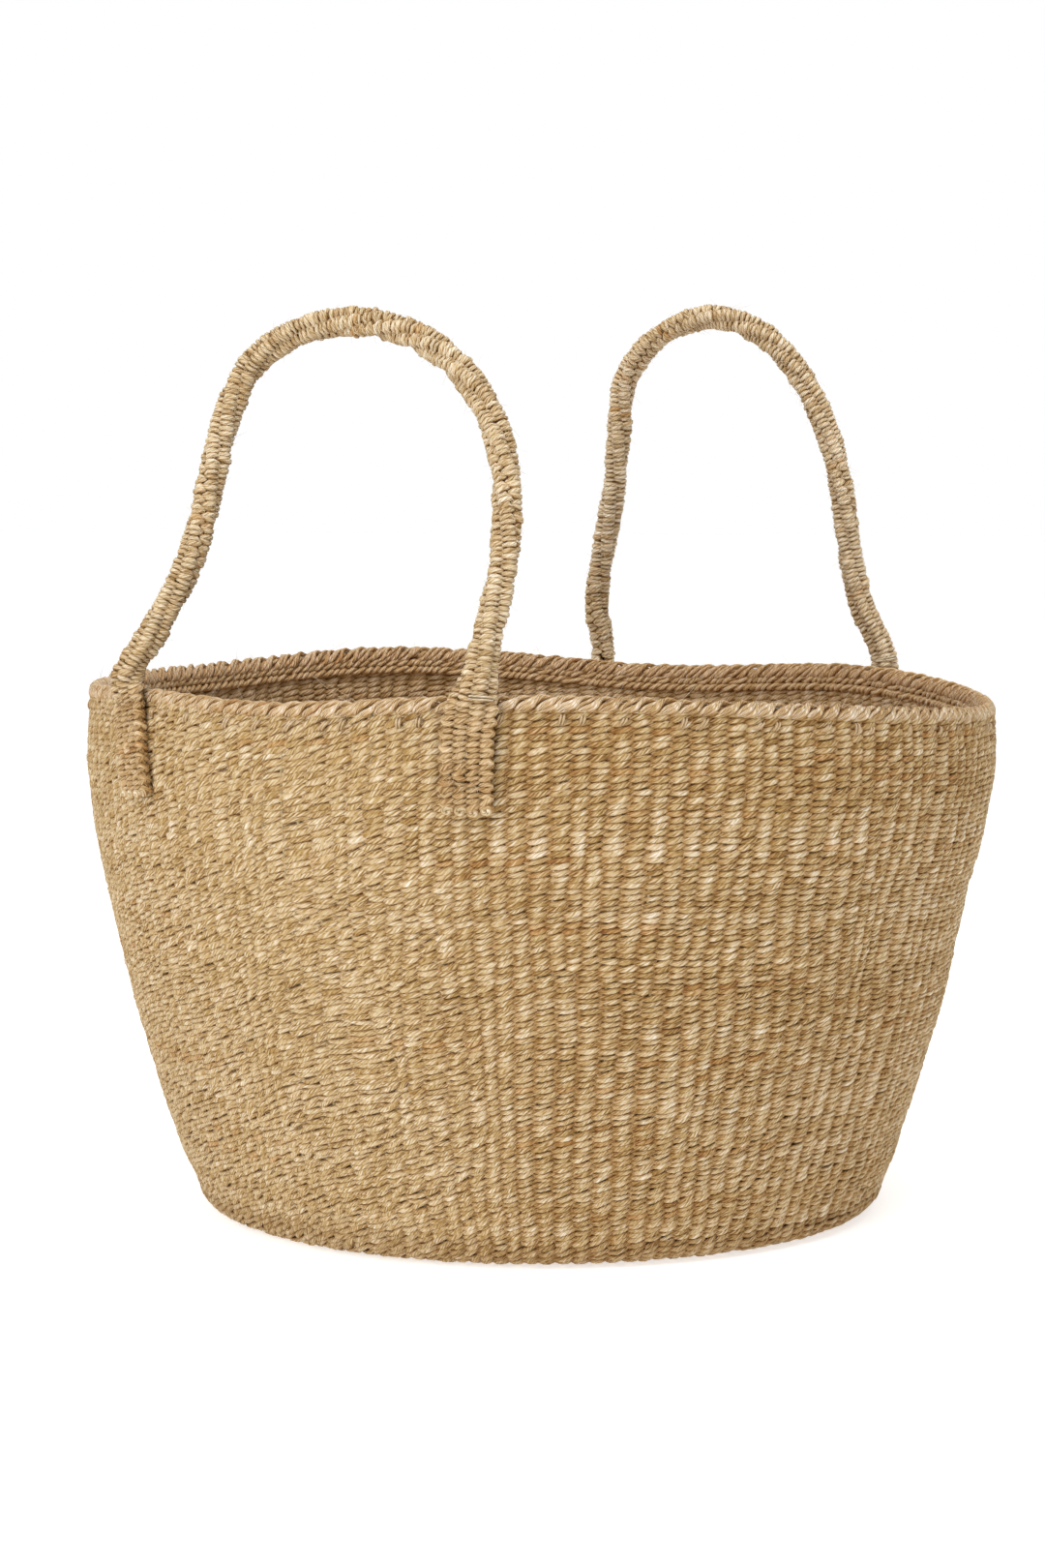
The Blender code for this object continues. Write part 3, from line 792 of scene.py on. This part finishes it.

# %% [markdown]
# ## The straps
#
# Each handle is a band of four cords, twined across and back with the same two strands. Its flat ends
# are sewn to the outside of the wall. Above the rim the band curls up, edge to edge, into a tube, and
# the front one is also wrung round twice on its way over the arch.
#
# The route goes up the wall, over the hinge line at the rim and round the arch, which stands in a
# plane that leans in over the mouth. The arch's points are shares of the half span and of the rise, as
# in the imported model.

# %% Strap routes
# The rear strap is seen from its shaded side, so its tone is lifted and its rust measure given a warm tint: painted
# light, and painted warm bounce light.
FRONT = {
    "facing": -1.0, "foot": math.radians(24.15), "lean": math.radians(18.0), "rise": 0.1557, "turns": 3.0, "paler": 0.0, "painted_warmth": 0.0,
    "rolls": ((-11 * MM, 13 * MM), (-15 * MM, 22 * MM)),
    "shifts": ((0.0, 1.0, 2.2, 3.4, 4.4, 4.4), (-3.7, -3.7, -3.7, -3.6, -2.4, -1.2)),
    "arch": ((-0.93, 0.17), (-0.80, 0.357), (-0.77, 0.537), (-0.75, 0.723), (-0.65, 0.888), (-0.39, 0.98),
             (-0.03, 1.0), (0.30, 0.958), (0.59, 0.863), (0.82, 0.728), (0.96, 0.564), (1.02, 0.385), (1.01, 0.18)),
}
REAR = {
    "facing": 1.0, "foot": math.radians(22.55), "lean": math.radians(8.0), "rise": 0.166, "turns": 2.5, "paler": 0.9, "painted_warmth": 0.1,
    "rolls": ((-30 * MM, 4 * MM), (-30 * MM, 4 * MM)),
    "shifts": ((0.0,) * 6, (0.0,) * 6),
    "arch": ((-1.02, 0.149), (-0.94, 0.318), (-0.84, 0.484), (-0.77, 0.658), (-0.69, 0.827), (-0.43, 0.947),
             (-0.06, 1.0), (0.27, 0.954), (0.52, 0.838), (0.69, 0.677), (0.78, 0.502), (0.81, 0.332), (0.87, 0.165)),
}
STRAP_THICK = 5.6 * MM
TAB_HEIGHTS = (0.190, 0.200, 0.210, 0.220, 0.228)
ROUTE_STEP = 1.0 * MM
RIM_CLEARANCE = 1.2 * MM
joint_at = {joint["child"]: Vector(joint["pos_m"]) for joint in frame["joints"]}


def tab_places(strap, side):
    """The middle of a strap's flat end, on the outside of the wall, from its end up to the rim."""
    places = []
    for height, shift in zip(TAB_HEIGHTS, strap["shifts"][side > 0]):
        along = along_at_height(min(height, float(middle_line[-1, 1])))
        radius = float(mid_radius(along)) + 0.5 * FABRIC + 0.3 * MM + 0.5 * STRAP_THICK
        foot = strap["foot"] + shift * MM / radius
        places.append((side * radius * math.sin(foot), strap["facing"] * radius * math.cos(foot), height))
    return places


def strap_route(strap, hinge):
    """Even points from one tab, over the arch, to the other tab, with the outward direction at each."""
    reach = hinge.y / strap["facing"] * math.tan(strap["foot"])
    lean = Matrix.Rotation(strap["facing"] * strap["lean"], 3, "X")
    arch = [hinge + lean @ Vector((reach * across, 0.0, strap["rise"] * up)) for across, up in strap["arch"]]
    left, right = tab_places(strap, -1), tab_places(strap, 1)[::-1]
    feet = [hinge + Vector((side * (reach + strap["shifts"][side > 0][-1] * MM), 0.0, 0.0)) for side in (-1, 1)]
    controls = left + [feet[0]] + arch + [feet[1]] + right
    length = sum((Vector(b) - Vector(a)).length for a, b in zip(controls, controls[1:]))
    route = smooth_route([tuple(point) for point in controls], int(length / ROUTE_STEP))
    tall = route[:, 2] - hinge.z
    leaning = np.array(lean @ Vector((0.0, strap["facing"], 0.0)))
    radial = np.stack([route[:, 0], route[:, 1], np.zeros(len(route))], axis=1)
    share = np.clip((tall + 6 * MM) / (30 * MM), 0.0, 1.0)[:, None]
    out = unit(unit(radial) * (1 - share) + leaning * share)
    proud = RIM_CLEARANCE * np.exp(-(tall / (12 * MM)) ** 2)
    return route + proud[:, None] * out, out


front_route, front_out = strap_route(FRONT, joint_at["front_handle"])
rear_route, rear_out = strap_route(REAR, joint_at["rear_handle"])
print("strap lengths in mm:", [round(len(route) * ROUTE_STEP / MM) for route in (front_route, rear_route)])

# %% [markdown]
# ## Rolling a flat band into a tube
#
# A place on the band has three measures: along it, across it and through it. To roll the band, its
# width is bent round a circle whose radius shrinks until the two edges meet. The middle of the arc is
# kept on the route, so the tube stays where the flat band was.

# %% Band to tube
CORDS = 4
CORD_PITCH = 5.2 * MM
TWIST_FROM = 12 * MM
TUBE_RADIUS = CORDS * CORD_PITCH / (2 * math.pi)


class Band:
    """A strap's route with its frame, its curl and its twist, read at any distance along it."""

    def __init__(self, strap, route, out, hinge):
        step = np.linalg.norm(np.diff(route, axis=0), axis=1)
        self.length = np.concatenate([[0.0], np.cumsum(step)])
        self.route = route
        self.paler, self.painted_warmth = strap["paler"], strap["painted_warmth"]
        forward = unit(np.gradient(route, axis=0))
        out = unit(out - (out * forward).sum(1, keepdims=True) * forward)
        side = np.cross(forward, out)
        first = np.arange(len(route)) < len(route) // 2
        flat_to, rolled_at = (np.where(first, left, right) for left, right in zip(*strap["rolls"]))
        rise = np.clip((route[:, 2] - hinge.z - flat_to) / (rolled_at - flat_to), 0.0, 1.0)
        self.curl = 1.04 * rise * rise * (3 - 2 * rise)
        foot = np.argmax(route[:, 2] > hinge.z + TWIST_FROM)
        last = len(route) - 1 - foot
        share = np.clip((self.length - self.length[foot]) / (self.length[last] - self.length[foot]), 0.0, 1.0)
        wobble = 0.5 * np.sin(3 * math.pi * share) + 0.3 * np.sin(7 * math.pi * share)
        even = 0.5 * share + 0.5 * share * share * (3 - 2 * share)
        turn = 2 * math.pi * strap["turns"] * even + wobble * np.sin(math.pi * share)
        cosine, sine = np.cos(turn)[:, None], np.sin(turn)[:, None]
        self.out = out * cosine - side * sine
        self.side = side * cosine + out * sine

    def read(self, values, along):
        if values.ndim == 1:
            return np.interp(along, self.length, values)
        return np.stack([np.interp(along, self.length, values[:, axis]) for axis in range(3)], axis=-1)

    def place(self, along, across, depth):
        """Points and outward directions on the band."""
        curl = np.maximum(self.read(self.curl, along), 1e-4)
        bend = curl / TUBE_RADIUS
        angle = across * bend
        half = 0.5 * CORDS * CORD_PITCH * bend
        inward = (1.0 - np.sin(half) / half) / bend
        over = np.sin(angle) / bend + depth * np.sin(angle)
        through = (np.cos(angle) - 1.0) / bend + depth * np.cos(angle) + inward
        side, out = self.read(self.side, along), self.read(self.out, along)
        points = self.read(self.route, along) + side * over[..., None] + out * through[..., None]
        return points, side * np.sin(angle)[..., None] + out * np.cos(angle)[..., None]


front_band = Band(FRONT, front_route, front_out, joint_at["front_handle"])
rear_band = Band(REAR, rear_route, rear_out, joint_at["rear_handle"])
print("tube diameter in mm:", round(2 * (TUBE_RADIUS + 0.5 * STRAP_THICK) / MM, 1))

# %% [markdown]
# ## Twining the straps
#
# A strand crosses the four cords, goes round the outer one and comes back in the next row. So its
# place along the strap climbs one row at each edge, and the slant is turned over in every second row
# to keep all stitches leaning the same way.
#
# Where the strap is rolled, the four wrapped cords press together like four round rods, two by two.
# Each rod stands out between deep grooves, which the wrung tube carries round like a coarse screw.

# %% Strap rows
STRAP_ROW = 2.2 * MM
STRAP_STRAND = 0.9 * MM
STRAP_DEPTH = 0.5 * STRAP_THICK - STRAP_STRAND
ROLLED_CROWN = 2.35 * MM
ROLLED_GROOVE = -0.8 * MM
ROLLED_BACK = -1.1 * MM
TAB_DARKER = 0.4
TAB_WARMER = 0.55


def strap_strand(band, parity):
    """One of the two strands of a strap, from end to end."""
    total = band.length[-1]
    rows = int(total / STRAP_ROW)
    stitches = CORDS * rows // 2 - 1
    places = (2 * np.arange(stitches)[:, None] + parity + 0.5 + STITCH_RINGS).ravel()
    phase = math.pi * (places - 0.5 - parity)
    edge = np.round(places / CORDS)
    past = places - CORDS * edge
    row = edge - 0.5 + ease(past + 0.5)
    slant = np.where(edge % 2 == 0, 1.0, -1.0) * (2 * ease(past + 0.5) - 1.0)
    step = np.mod(places, CORDS)
    across = np.where(np.floor(places / CORDS) % 2 == 0, step, CORDS - step) - 0.5 * CORDS
    depth, lift, full = twist(phase, 0.65)
    rings = len(STITCH_RINGS)
    size = np.repeat(1.0 + 0.14 * rng.normal(size=stitches), rings)
    push = np.repeat(0.25 * MM * rng.normal(size=stitches), rings)
    steep = np.repeat(1.0 + 0.7 * rng.normal(size=stitches), rings)
    spacing = total / rows
    along = row * spacing + 0.20 * spacing * lift * slant * steep
    width = CORD_PITCH * across * (1.0 + 0.02 * np.sin(along / (17 * MM)))
    curl = band.read(band.curl, along)
    rolled = np.where(depth > 0, ROLLED_GROOVE + (ROLLED_CROWN - ROLLED_GROOVE) * depth,
                      ROLLED_GROOVE + (ROLLED_GROOVE - ROLLED_BACK) * depth)
    share = np.minimum(curl, 1.0)
    through = STRAP_DEPTH * depth * (1 - share) + rolled * share + push * depth
    centres, normals = band.place(along, width, through)
    high = spacing * (0.30 + 0.30 * full) * size
    thick = STRAP_STRAND * (1.12 - 0.12 * full) * size
    tone, rust = strand_marks(stitches, 0.0, 0.008)
    # The strap's sisal is painted light for the light that the rolled tube gets from all round; on the flat ends,
    # which lie on the wall, the tone is lowered, which takes part of that painted light back. The rear strap's lifted
    # tone and warm tint are painted light too.
    tone = tone + band.paler - TAB_DARKER * (1.0 - share[::rings])
    # Painted shade: the crease tint darkens each stitch where it narrows between the cords, and the flat ends get at
    # least a set share of it over their whole face, which makes them warm.
    crease_shade = np.maximum((1.0 - 0.45 * share) * (1.0 - full) ** 1.3, TAB_WARMER * (1.0 - share))
    fibre = np.stack([np.repeat(tone, rings), np.repeat(rust, rings) + band.painted_warmth, crease_shade], axis=-1)
    return sweep(centres[None], normals[None], high[None], thick[None], fibre[None])


def strap_cords(band):
    """The four cords that the strands go round."""
    along = np.linspace(1.5 * MM, band.length[-1] - 1.5 * MM, int(band.length[-1] / (5 * MM)))
    across = (np.arange(CORDS)[:, None] - 0.5 * (CORDS - 1)) * CORD_PITCH
    grid = np.broadcast_to(along, (CORDS, len(along)))
    centres, normals = band.place(grid, np.broadcast_to(across, grid.shape), 0.3 * MM * band.read(band.curl, grid))
    fibre = np.zeros(grid.shape + (3,))
    # Painted shade: the cords under the strands are darkened with the crease tint.
    fibre[..., 2] = 0.5
    return sweep(centres, normals, 1.6 * MM, 1.6 * MM, fibre)


def make_strap(name, band):
    return make_piece(name, [strap_strand(band, 0), strap_strand(band, 1), strap_cords(band)])


front_strap = make_strap("front_strap", front_band)
rear_strap = make_strap("rear_strap", rear_band)

# %% [markdown]
# ## Knots and lashings
#
# Each cord of a strap ends in a small round coil, where its strand is wound back and stitched down. A
# pale thread lashes each strap to the rim.

# %% Knots
KNOT_POINTS = 22
KNOT_TURNS = 1.1
KNOT_OUTER = 1.7 * MM
KNOT_INNER = 0.5 * MM
KNOT_STRAND = 1.3 * MM


def knot(band, end, cord):
    """A strand wound into a domed coil at the end of one cord."""
    share = np.linspace(0.0, 1.0, KNOT_POINTS)
    turn = 2 * math.pi * (KNOT_TURNS * share + rng.random())
    radius = (KNOT_OUTER + (KNOT_INNER - KNOT_OUTER) * share) * (1.0 + 0.05 * rng.normal())
    along = 1.4 * MM + 0.5 * MM * rng.normal()
    if end:
        along = band.length[-1] - along
    across = (cord - 0.5 * (CORDS - 1)) * CORD_PITCH + 1.15 * radius * np.cos(turn)
    depth = (1.0 + 1.3 * share) * MM
    centres, normals = band.place(along + 0.75 * radius * np.sin(turn), across, depth)
    fibre = np.zeros((KNOT_POINTS, 3))
    fibre[:, 0] = -0.8 + 0.5 * rng.normal()
    return sweep(centres[None], normals[None], KNOT_STRAND, KNOT_STRAND, fibre[None])


def lashing(band, end, across, tall):
    """A thread over the strap at the rim, that dives on both sides of two cords."""
    foot = np.argmax(band.route[:, 2] > cad_rim + tall)
    along = band.length[foot]
    if end:
        along = band.length[-1] - along
    span = np.linspace(-1.0, 1.0, 11)
    over = STRAP_DEPTH + STRAP_STRAND + 0.2 * MM - 2.6 * MM * span ** 6
    centres, normals = band.place(along + 0.6 * MM * span, across + 4.6 * MM * span, over)
    fibre = np.zeros((11, 3))
    fibre[:, 0] = 1.5
    return sweep(centres[None], normals[None], 0.5 * MM, 0.5 * MM, fibre[None])


def fastenings(name, band):
    parts = [knot(band, end, cord) for end in (False, True) for cord in range(CORDS)]
    parts += [lashing(band, end, across, tall) for end, across, tall in
              ((True, -3.4 * MM, 3.7 * MM), (True, -3.2 * MM, 2.8 * MM))]
    return make_piece(name, parts)


front_fastenings = fastenings("front_strap_knots", front_band)
rear_fastenings = fastenings("rear_strap_knots", rear_band)

# %% [markdown]
# ## Loose fibres
#
# Sisal is hairy: single fibres stand off the strands, most of all at the rim and on the handles, where
# they catch the light. Each is a thin curved hair with three sides.

# %% Loose fibres
HAIR_POINTS = 6
HAIR_RADIUS = 0.055 * MM


def hairs(roots, out, direction, lengths, curl):
    """Hairs that leave the surface at a low angle and bend away."""
    count = len(roots)
    t = np.linspace(0.0, 1.0, HAIR_POINTS)[None, :, None]
    swing = rng.normal(size=(count, 1, 3)) * curl
    away = out[:, None] * (0.25 + 0.5 * rng.random((count, 1, 1)))
    path = roots[:, None] + lengths[:, None, None] * (direction[:, None] * t + away * t + swing * t * t)
    fibre = np.zeros((count, HAIR_POINTS, 3))
    fibre[..., 0] = 1.6
    width = HAIR_RADIUS * (1.0 - 0.6 * t[..., 0])
    return sweep(path, np.broadcast_to(out[:, None], path.shape), width, width, fibre, sides=3)


def wall_hairs(count, low, high, lengths):
    height = rng.uniform(low, high, count)
    angle = rng.uniform(0.0, 2 * math.pi, count)
    along = np.array([along_at_height(value) for value in height])
    roots = follow_rim(on_fabric(along, angle, 0.5 * FABRIC - 0.2 * MM))
    around = np.stack([-np.sin(angle), np.cos(angle), np.zeros(count)], axis=1)
    lift = np.stack([np.zeros(count), np.zeros(count), np.ones(count)], axis=1)
    direction = around * rng.choice((-1.0, 1.0), (count, 1)) + lift * rng.normal(size=(count, 1)) * 0.7
    return hairs(roots, fabric_normal(along, angle), unit(direction), rng.uniform(*lengths, count), 0.35)


def rim_hairs(count, lengths, curl):
    angle = rng.uniform(0.0, 2 * math.pi, count)
    radius = rim_radius + rng.uniform(-5.0, 3.0, count) * MM
    height = cad_rim - 1.0 * MM - 0.2 * np.abs(radius - rim_radius)
    roots = follow_rim(np.stack([radius * np.cos(angle), radius * np.sin(angle), height], axis=1))
    around = np.stack([-np.sin(angle), np.cos(angle), np.zeros(count)], axis=1)
    out = unit(np.stack([np.cos(angle) * rng.normal(size=count), np.sin(angle) * rng.normal(size=count),
                         np.full(count, 1.2)], axis=1))
    return hairs(roots, out, around * rng.choice((-1.0, 1.0), (count, 1)), rng.uniform(*lengths, count), curl)


def strap_hairs(band, count):
    along = rng.uniform(4 * MM, band.length[-1] - 4 * MM, count)
    across = rng.uniform(-0.5, 0.5, count) * CORDS * CORD_PITCH
    roots, out = band.place(along, across, np.full(count, 0.5 * STRAP_THICK - 0.2 * MM))
    ahead, _ = band.place(along + 1 * MM, across, np.full(count, 0.5 * STRAP_THICK))
    direction = unit(ahead - roots) * rng.choice((-1.0, 1.0), (count, 1))
    return hairs(roots, out, direction, rng.uniform(1.5, 4.5, count) * MM, 0.4)


basket_fuzz = make_piece("basket_fuzz", [wall_hairs(800, 0.01, 0.22, (2 * MM, 6 * MM)), rim_hairs(600, (3 * MM, 9 * MM), 0.5),
                                         rim_hairs(60, (7 * MM, 15 * MM), 0.45)])
front_fuzz = make_piece("front_strap_fuzz", [strap_hairs(front_band, 500)])
rear_fuzz = make_piece("rear_strap_fuzz", [strap_hairs(rear_band, 500)])

# %% [markdown]
# ## Sisal
#
# Sisal is a leaf fibre, dry, pale straw in colour and slightly glossy along the fibre. Two plies are
# twisted into a strand, so slanting ridges run round it, a new one about every 3 mm, with fine fibres
# along each ridge. The fibres' colour runs from brown to nearly white, and some fibres are rusty. The
# grooves between the plies are also painted a little darker, as painted shade, and the ridges a little
# lighter, as painted highlight. The rust tint also carries painted warm bounce light, and a crease tint
# carries painted shade.
#
# The pattern follows the strand through its UV map: how far along and how far round. The difference
# of the two is a helix. Colours are written as sRGB values, as a colour picker shows them.

# %% Helpers for materials


def srgb(code):
    """A colour such as "c8ac7c", turned from sRGB to the linear values that Blender uses."""
    parts = [int(code[i:i + 2], 16) / 255.0 for i in (0, 2, 4)]
    return tuple(p / 12.92 if p <= 0.04045 else ((p + 0.055) / 1.055) ** 2.4 for p in parts) + (1.0,)


def add_node(material, kind, settings=None, inputs=None):
    """Adds one node. settings are its own properties. inputs are values, or sockets to link from."""
    node = material.node_tree.nodes.new(kind)
    for name, value in (settings or {}).items():
        setattr(node, name, value)
    for name, value in (inputs or {}).items():
        if isinstance(value, bpy.types.NodeSocket):
            material.node_tree.links.new(value, node.inputs[name])
        else:
            node.inputs[name].default_value = value
    return node


def new_material(name):
    material = bpy.data.materials.new(name)
    material.use_nodes = True
    return material, material.node_tree.nodes["Principled BSDF"]


# %% Sisal strands
RIDGES = 6.0
RIDGE_DEPTH = 0.32 * MM
SISAL_IOR = 1.45


def maths(material, operation, first, second=0.0, third=0.0):
    node = add_node(material, "ShaderNodeMath", {"operation": operation})
    for socket, value in zip(node.inputs, (first, second, third)):
        if isinstance(value, bpy.types.NodeSocket):
            material.node_tree.links.new(value, socket)
        else:
            socket.default_value = value
    return node.outputs[0]


def sisal(name, deep, shade, body, pale, light, rusty):
    """Two-ply sisal in one range of tones."""
    material, shader = new_material(name)
    lay = add_node(material, "ShaderNodeUVMap", {"uv_map": "lay"})
    split = add_node(material, "ShaderNodeSeparateXYZ", inputs={"Vector": lay.outputs["UV"]})
    helix = maths(material, "MULTIPLY", maths(material, "SUBTRACT", split.outputs["Y"], split.outputs["X"]), RIDGES)
    wave = maths(material, "COSINE", maths(material, "MULTIPLY", helix, 2 * math.pi))
    ridge = maths(material, "MULTIPLY_ADD", wave, 0.5, 0.5)
    fibre_place = add_node(material, "ShaderNodeCombineXYZ", inputs={
        "X": maths(material, "MULTIPLY", helix, 1.7), "Y": maths(material, "MULTIPLY", split.outputs["X"], 3.0)})
    fine = add_node(material, "ShaderNodeTexNoise", {"noise_dimensions": "2D"},
                    {"Vector": fibre_place.outputs[0], "Scale": 1.0, "Detail": 3.0, "Roughness": 0.6})
    marks = add_node(material, "ShaderNodeAttribute", {"attribute_name": "fibre"})
    mark = add_node(material, "ShaderNodeSeparateXYZ", inputs={"Vector": marks.outputs["Vector"]})
    places = add_node(material, "ShaderNodeTexCoord")
    patch = add_node(material, "ShaderNodeTexNoise", inputs={
        "Vector": places.outputs["Object"], "Scale": 26.0, "Detail": 3.0})
    tone = maths(material, "MULTIPLY_ADD", mark.outputs["X"], 0.10, 0.40)
    tone = maths(material, "MULTIPLY_ADD", maths(material, "SUBTRACT", fine.outputs["Fac"], 0.5), 1.55, tone)
    # Painted shade and highlight: the tone is lowered in the grooves between the plies and raised on the ridges.
    tone = maths(material, "MULTIPLY_ADD", maths(material, "SUBTRACT", ridge, 0.4), 0.20, tone)
    tone = maths(material, "MULTIPLY_ADD", maths(material, "SUBTRACT", patch.outputs["Fac"], 0.5), 0.10, tone)
    ramp = add_node(material, "ShaderNodeValToRGB", inputs={"Fac": tone})
    stops = ramp.color_ramp.elements
    stops[0].position, stops[0].color = 0.0, srgb(deep)
    stops[1].position, stops[1].color = 1.0, srgb(light)
    for place, colour in ((0.25, shade), (0.5, body), (0.75, pale)):
        stops.new(place).color = srgb(colour)
    # The rust tint: rare rusty runs, and also painted warm bounce light on the inside faces, the border and the rear
    # strap.
    rust = add_node(material, "ShaderNodeMix", {"data_type": "RGBA", "blend_type": "MULTIPLY"}, {
        "Factor": maths(material, "MULTIPLY", mark.outputs["Y"], 0.85)})
    material.node_tree.links.new(ramp.outputs["Color"], rust.inputs["A"])
    rust.inputs["B"].default_value = srgb(rusty)
    # Painted shade: the third fibre measure multiplies the colour by this warm brown, darkening creases, row edges
    # and hidden cores, where shade falls.
    crease = add_node(material, "ShaderNodeMix", {"data_type": "RGBA", "blend_type": "MULTIPLY"}, {
        "Factor": maths(material, "MULTIPLY", mark.outputs["Z"], 0.95, 0.0)})
    material.node_tree.links.new(rust.outputs["Result"], crease.inputs["A"])
    crease.inputs["B"].default_value = srgb("cea85e")
    height = maths(material, "MULTIPLY_ADD", fine.outputs["Fac"], 1.0, ridge)
    bump = add_node(material, "ShaderNodeBump", inputs={"Height": height, "Distance": RIDGE_DEPTH, "Strength": 0.8})
    material.node_tree.links.new(crease.outputs["Result"], shader.inputs["Base Color"])
    material.node_tree.links.new(bump.outputs["Normal"], shader.inputs["Normal"])
    shader.inputs["Roughness"].default_value = 0.8
    shader.inputs["IOR"].default_value = SISAL_IOR
    return material


wall_sisal = sisal("twined_sisal", "7c5520", "a98a50", "cab48c", "e0d3ba", "f2ece1", "e6c084")
# Painted shade: a darker copy of the wall's sisal for the base and its start coil, which lie in shade.
base_sisal = sisal("twined_sisal_shaded", "75511f", "9e7f49", "bca47c", "d2c0a3", "e6dbc9", "e6c084")
border_sisal = sisal("border_sisal", "845e2c", "ae8c58", "cdb38c", "e1d0b8", "f2e9de", "e4c49a")
# Painted light: the lightest copy of the sisal, for the straps, their knots and lashings, standing in for the light
# that the rolled handles get from all round.
strap_sisal_painted_light = sisal("strap_sisal_painted_light", "89683a", "b4986a", "d4c19e", "e9dec8", "f8f2e7", "e6c28c")
print("sisal materials:", len([m for m in bpy.data.materials if "sisal" in m.name]))

# %% [markdown]
# Single fibres are the same leaf fibre without the twist: pale, thin and a little translucent to the
# eye. At their size one tone is enough, with a slow change along the basket.

# %% Single fibres
fuzz_sisal, fuzz_shader = new_material("sisal_fibre")
fuzz_places = add_node(fuzz_sisal, "ShaderNodeTexCoord")
fuzz_noise = add_node(fuzz_sisal, "ShaderNodeTexNoise", inputs={"Vector": fuzz_places.outputs["Object"], "Scale": 180.0})
fuzz_ramp = add_node(fuzz_sisal, "ShaderNodeValToRGB", inputs={"Fac": fuzz_noise.outputs["Fac"]})
fuzz_ramp.color_ramp.elements[0].color = srgb("cdb48d")
fuzz_ramp.color_ramp.elements[1].color = srgb("f4ead6")
fuzz_sisal.node_tree.links.new(fuzz_ramp.outputs["Color"], fuzz_shader.inputs["Base Color"])
fuzz_shader.inputs["Roughness"].default_value = 0.6

# %% [markdown]
# ## Dressing the frame
#
# The cloth, its border and the knots belong to the basket. A strap's flat ends are sewn to the basket
# and the rest swings with the handle; here each strap is only given its finish and its placement is
# baked into its mesh, and it is attached to no body.


def dress(piece, material):
    piece.data.materials.clear()
    piece.data.materials.append(material)


def bend_with(piece):
    """Bakes a strap's placement into its mesh."""
    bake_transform(piece)


for piece in cloth_pieces:
    is_base = piece.name.startswith("base")
    dress(piece, base_sisal if is_base else wall_sisal)
    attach(piece, "basket")
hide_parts("base_weave")
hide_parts("wall_weave")
for piece, material, slot in ((base_coil, base_sisal, "sisal_shade"), (lower_stakes, wall_sisal, "sisal"), (upper_stakes, wall_sisal, "sisal"),
                              (border, border_sisal, "sisal_pale"), (border_core, wall_sisal, "sisal_shade"),
                              (tucks, border_sisal, "sisal_pale"), (front_fastenings, strap_sisal_painted_light, "sisal_pale"),
                              (rear_fastenings, strap_sisal_painted_light, "sisal_pale"), (basket_fuzz, fuzz_sisal, "sisal_pale")):
    dress(piece, material)
    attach(piece, "basket")
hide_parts("rim_braid")
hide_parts("rim_roll")
for piece, body, material in ((front_strap, "front_handle", strap_sisal_painted_light), (front_fuzz, "front_handle", fuzz_sisal),
                              (rear_strap, "rear_handle", strap_sisal_painted_light), (rear_fuzz, "rear_handle", fuzz_sisal)):
    dress(piece, material)
    bend_with(piece)
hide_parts("front_handle", "front_left_tab", "front_right_tab")
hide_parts("rear_handle", "rear_left_tab", "rear_right_tab")

# %% [markdown]
# ## Floor and light
#
# The basket stands on white paper under soft studio light: a large lamp high on the left, a weaker
# one overhead, and an even glow from all round. In a studio the paper is lit until it is pure
# white in the picture. Here the paper also glows a little, which whitens it and lights the basket from
# below, and it is an ordinary matt surface as well, which keeps the basket's soft shadow.

# %% Floor, world and lamps
FLOOR_SIZE = 60.0
FLOOR_GLOW = 0.62
WORLD_GLOW = 0.43

bpy.ops.mesh.primitive_plane_add(size=FLOOR_SIZE, location=(0.0, 0.0, -0.0004))
floor = bpy.context.object
floor.name = "floor"
floor_white, floor_shader = new_material("white_paper")
floor_shader.inputs["Base Color"].default_value = srgb("e6e6e6")
floor_shader.inputs["Roughness"].default_value = 0.95
floor_shader.inputs["Emission Color"].default_value = (1.0, 1.0, 1.0, 1.0)
floor_shader.inputs["Emission Strength"].default_value = FLOOR_GLOW
floor.data.materials.append(floor_white)

world = bpy.data.worlds.new("studio")
bpy.context.scene.world = world
world.use_nodes = True
glow = world.node_tree.nodes["Background"]
paths = world.node_tree.nodes.new("ShaderNodeLightPath")
seen = world.node_tree.nodes.new("ShaderNodeMath")
seen.operation = "MAXIMUM"
world.node_tree.links.new(paths.outputs["Is Camera Ray"], seen.inputs[0])
world.node_tree.links.new(paths.outputs["Is Glossy Ray"], seen.inputs[1])
strength = world.node_tree.nodes.new("ShaderNodeMapRange")
strength.inputs["To Min"].default_value = WORLD_GLOW
strength.inputs["To Max"].default_value = 1.0
world.node_tree.links.new(seen.outputs[0], strength.inputs["Value"])
world.node_tree.links.new(strength.outputs["Result"], glow.inputs["Strength"])
glow.inputs["Color"].default_value = (1.0, 1.0, 1.0, 1.0)


def soft_lamp(name, place, size, watts):
    """A square lamp that faces the middle of the basket, placed in the photograph's own directions."""
    lamp_data = bpy.data.lights.new(name, "AREA")
    lamp_data.size = size
    lamp_data.energy = watts
    lamp = bpy.data.objects.new(name, lamp_data)
    bpy.context.scene.collection.objects.link(lamp)
    lamp.location = Matrix.Rotation(PHOTO_TURN, 3, "Z") @ Vector(place)
    aim = Vector((0.0, 0.0, 0.15)) - lamp.location
    lamp.rotation_euler = aim.to_track_quat("-Z", "Y").to_euler()
    return lamp


soft_lamp("high_left", (-1.7, -2.15, 1.6), 2.2, 48.0)
soft_lamp("overhead", (0.3, -0.6, 2.4), 1.6, 36.0)
bpy.context.scene.view_settings.view_transform = "Standard"
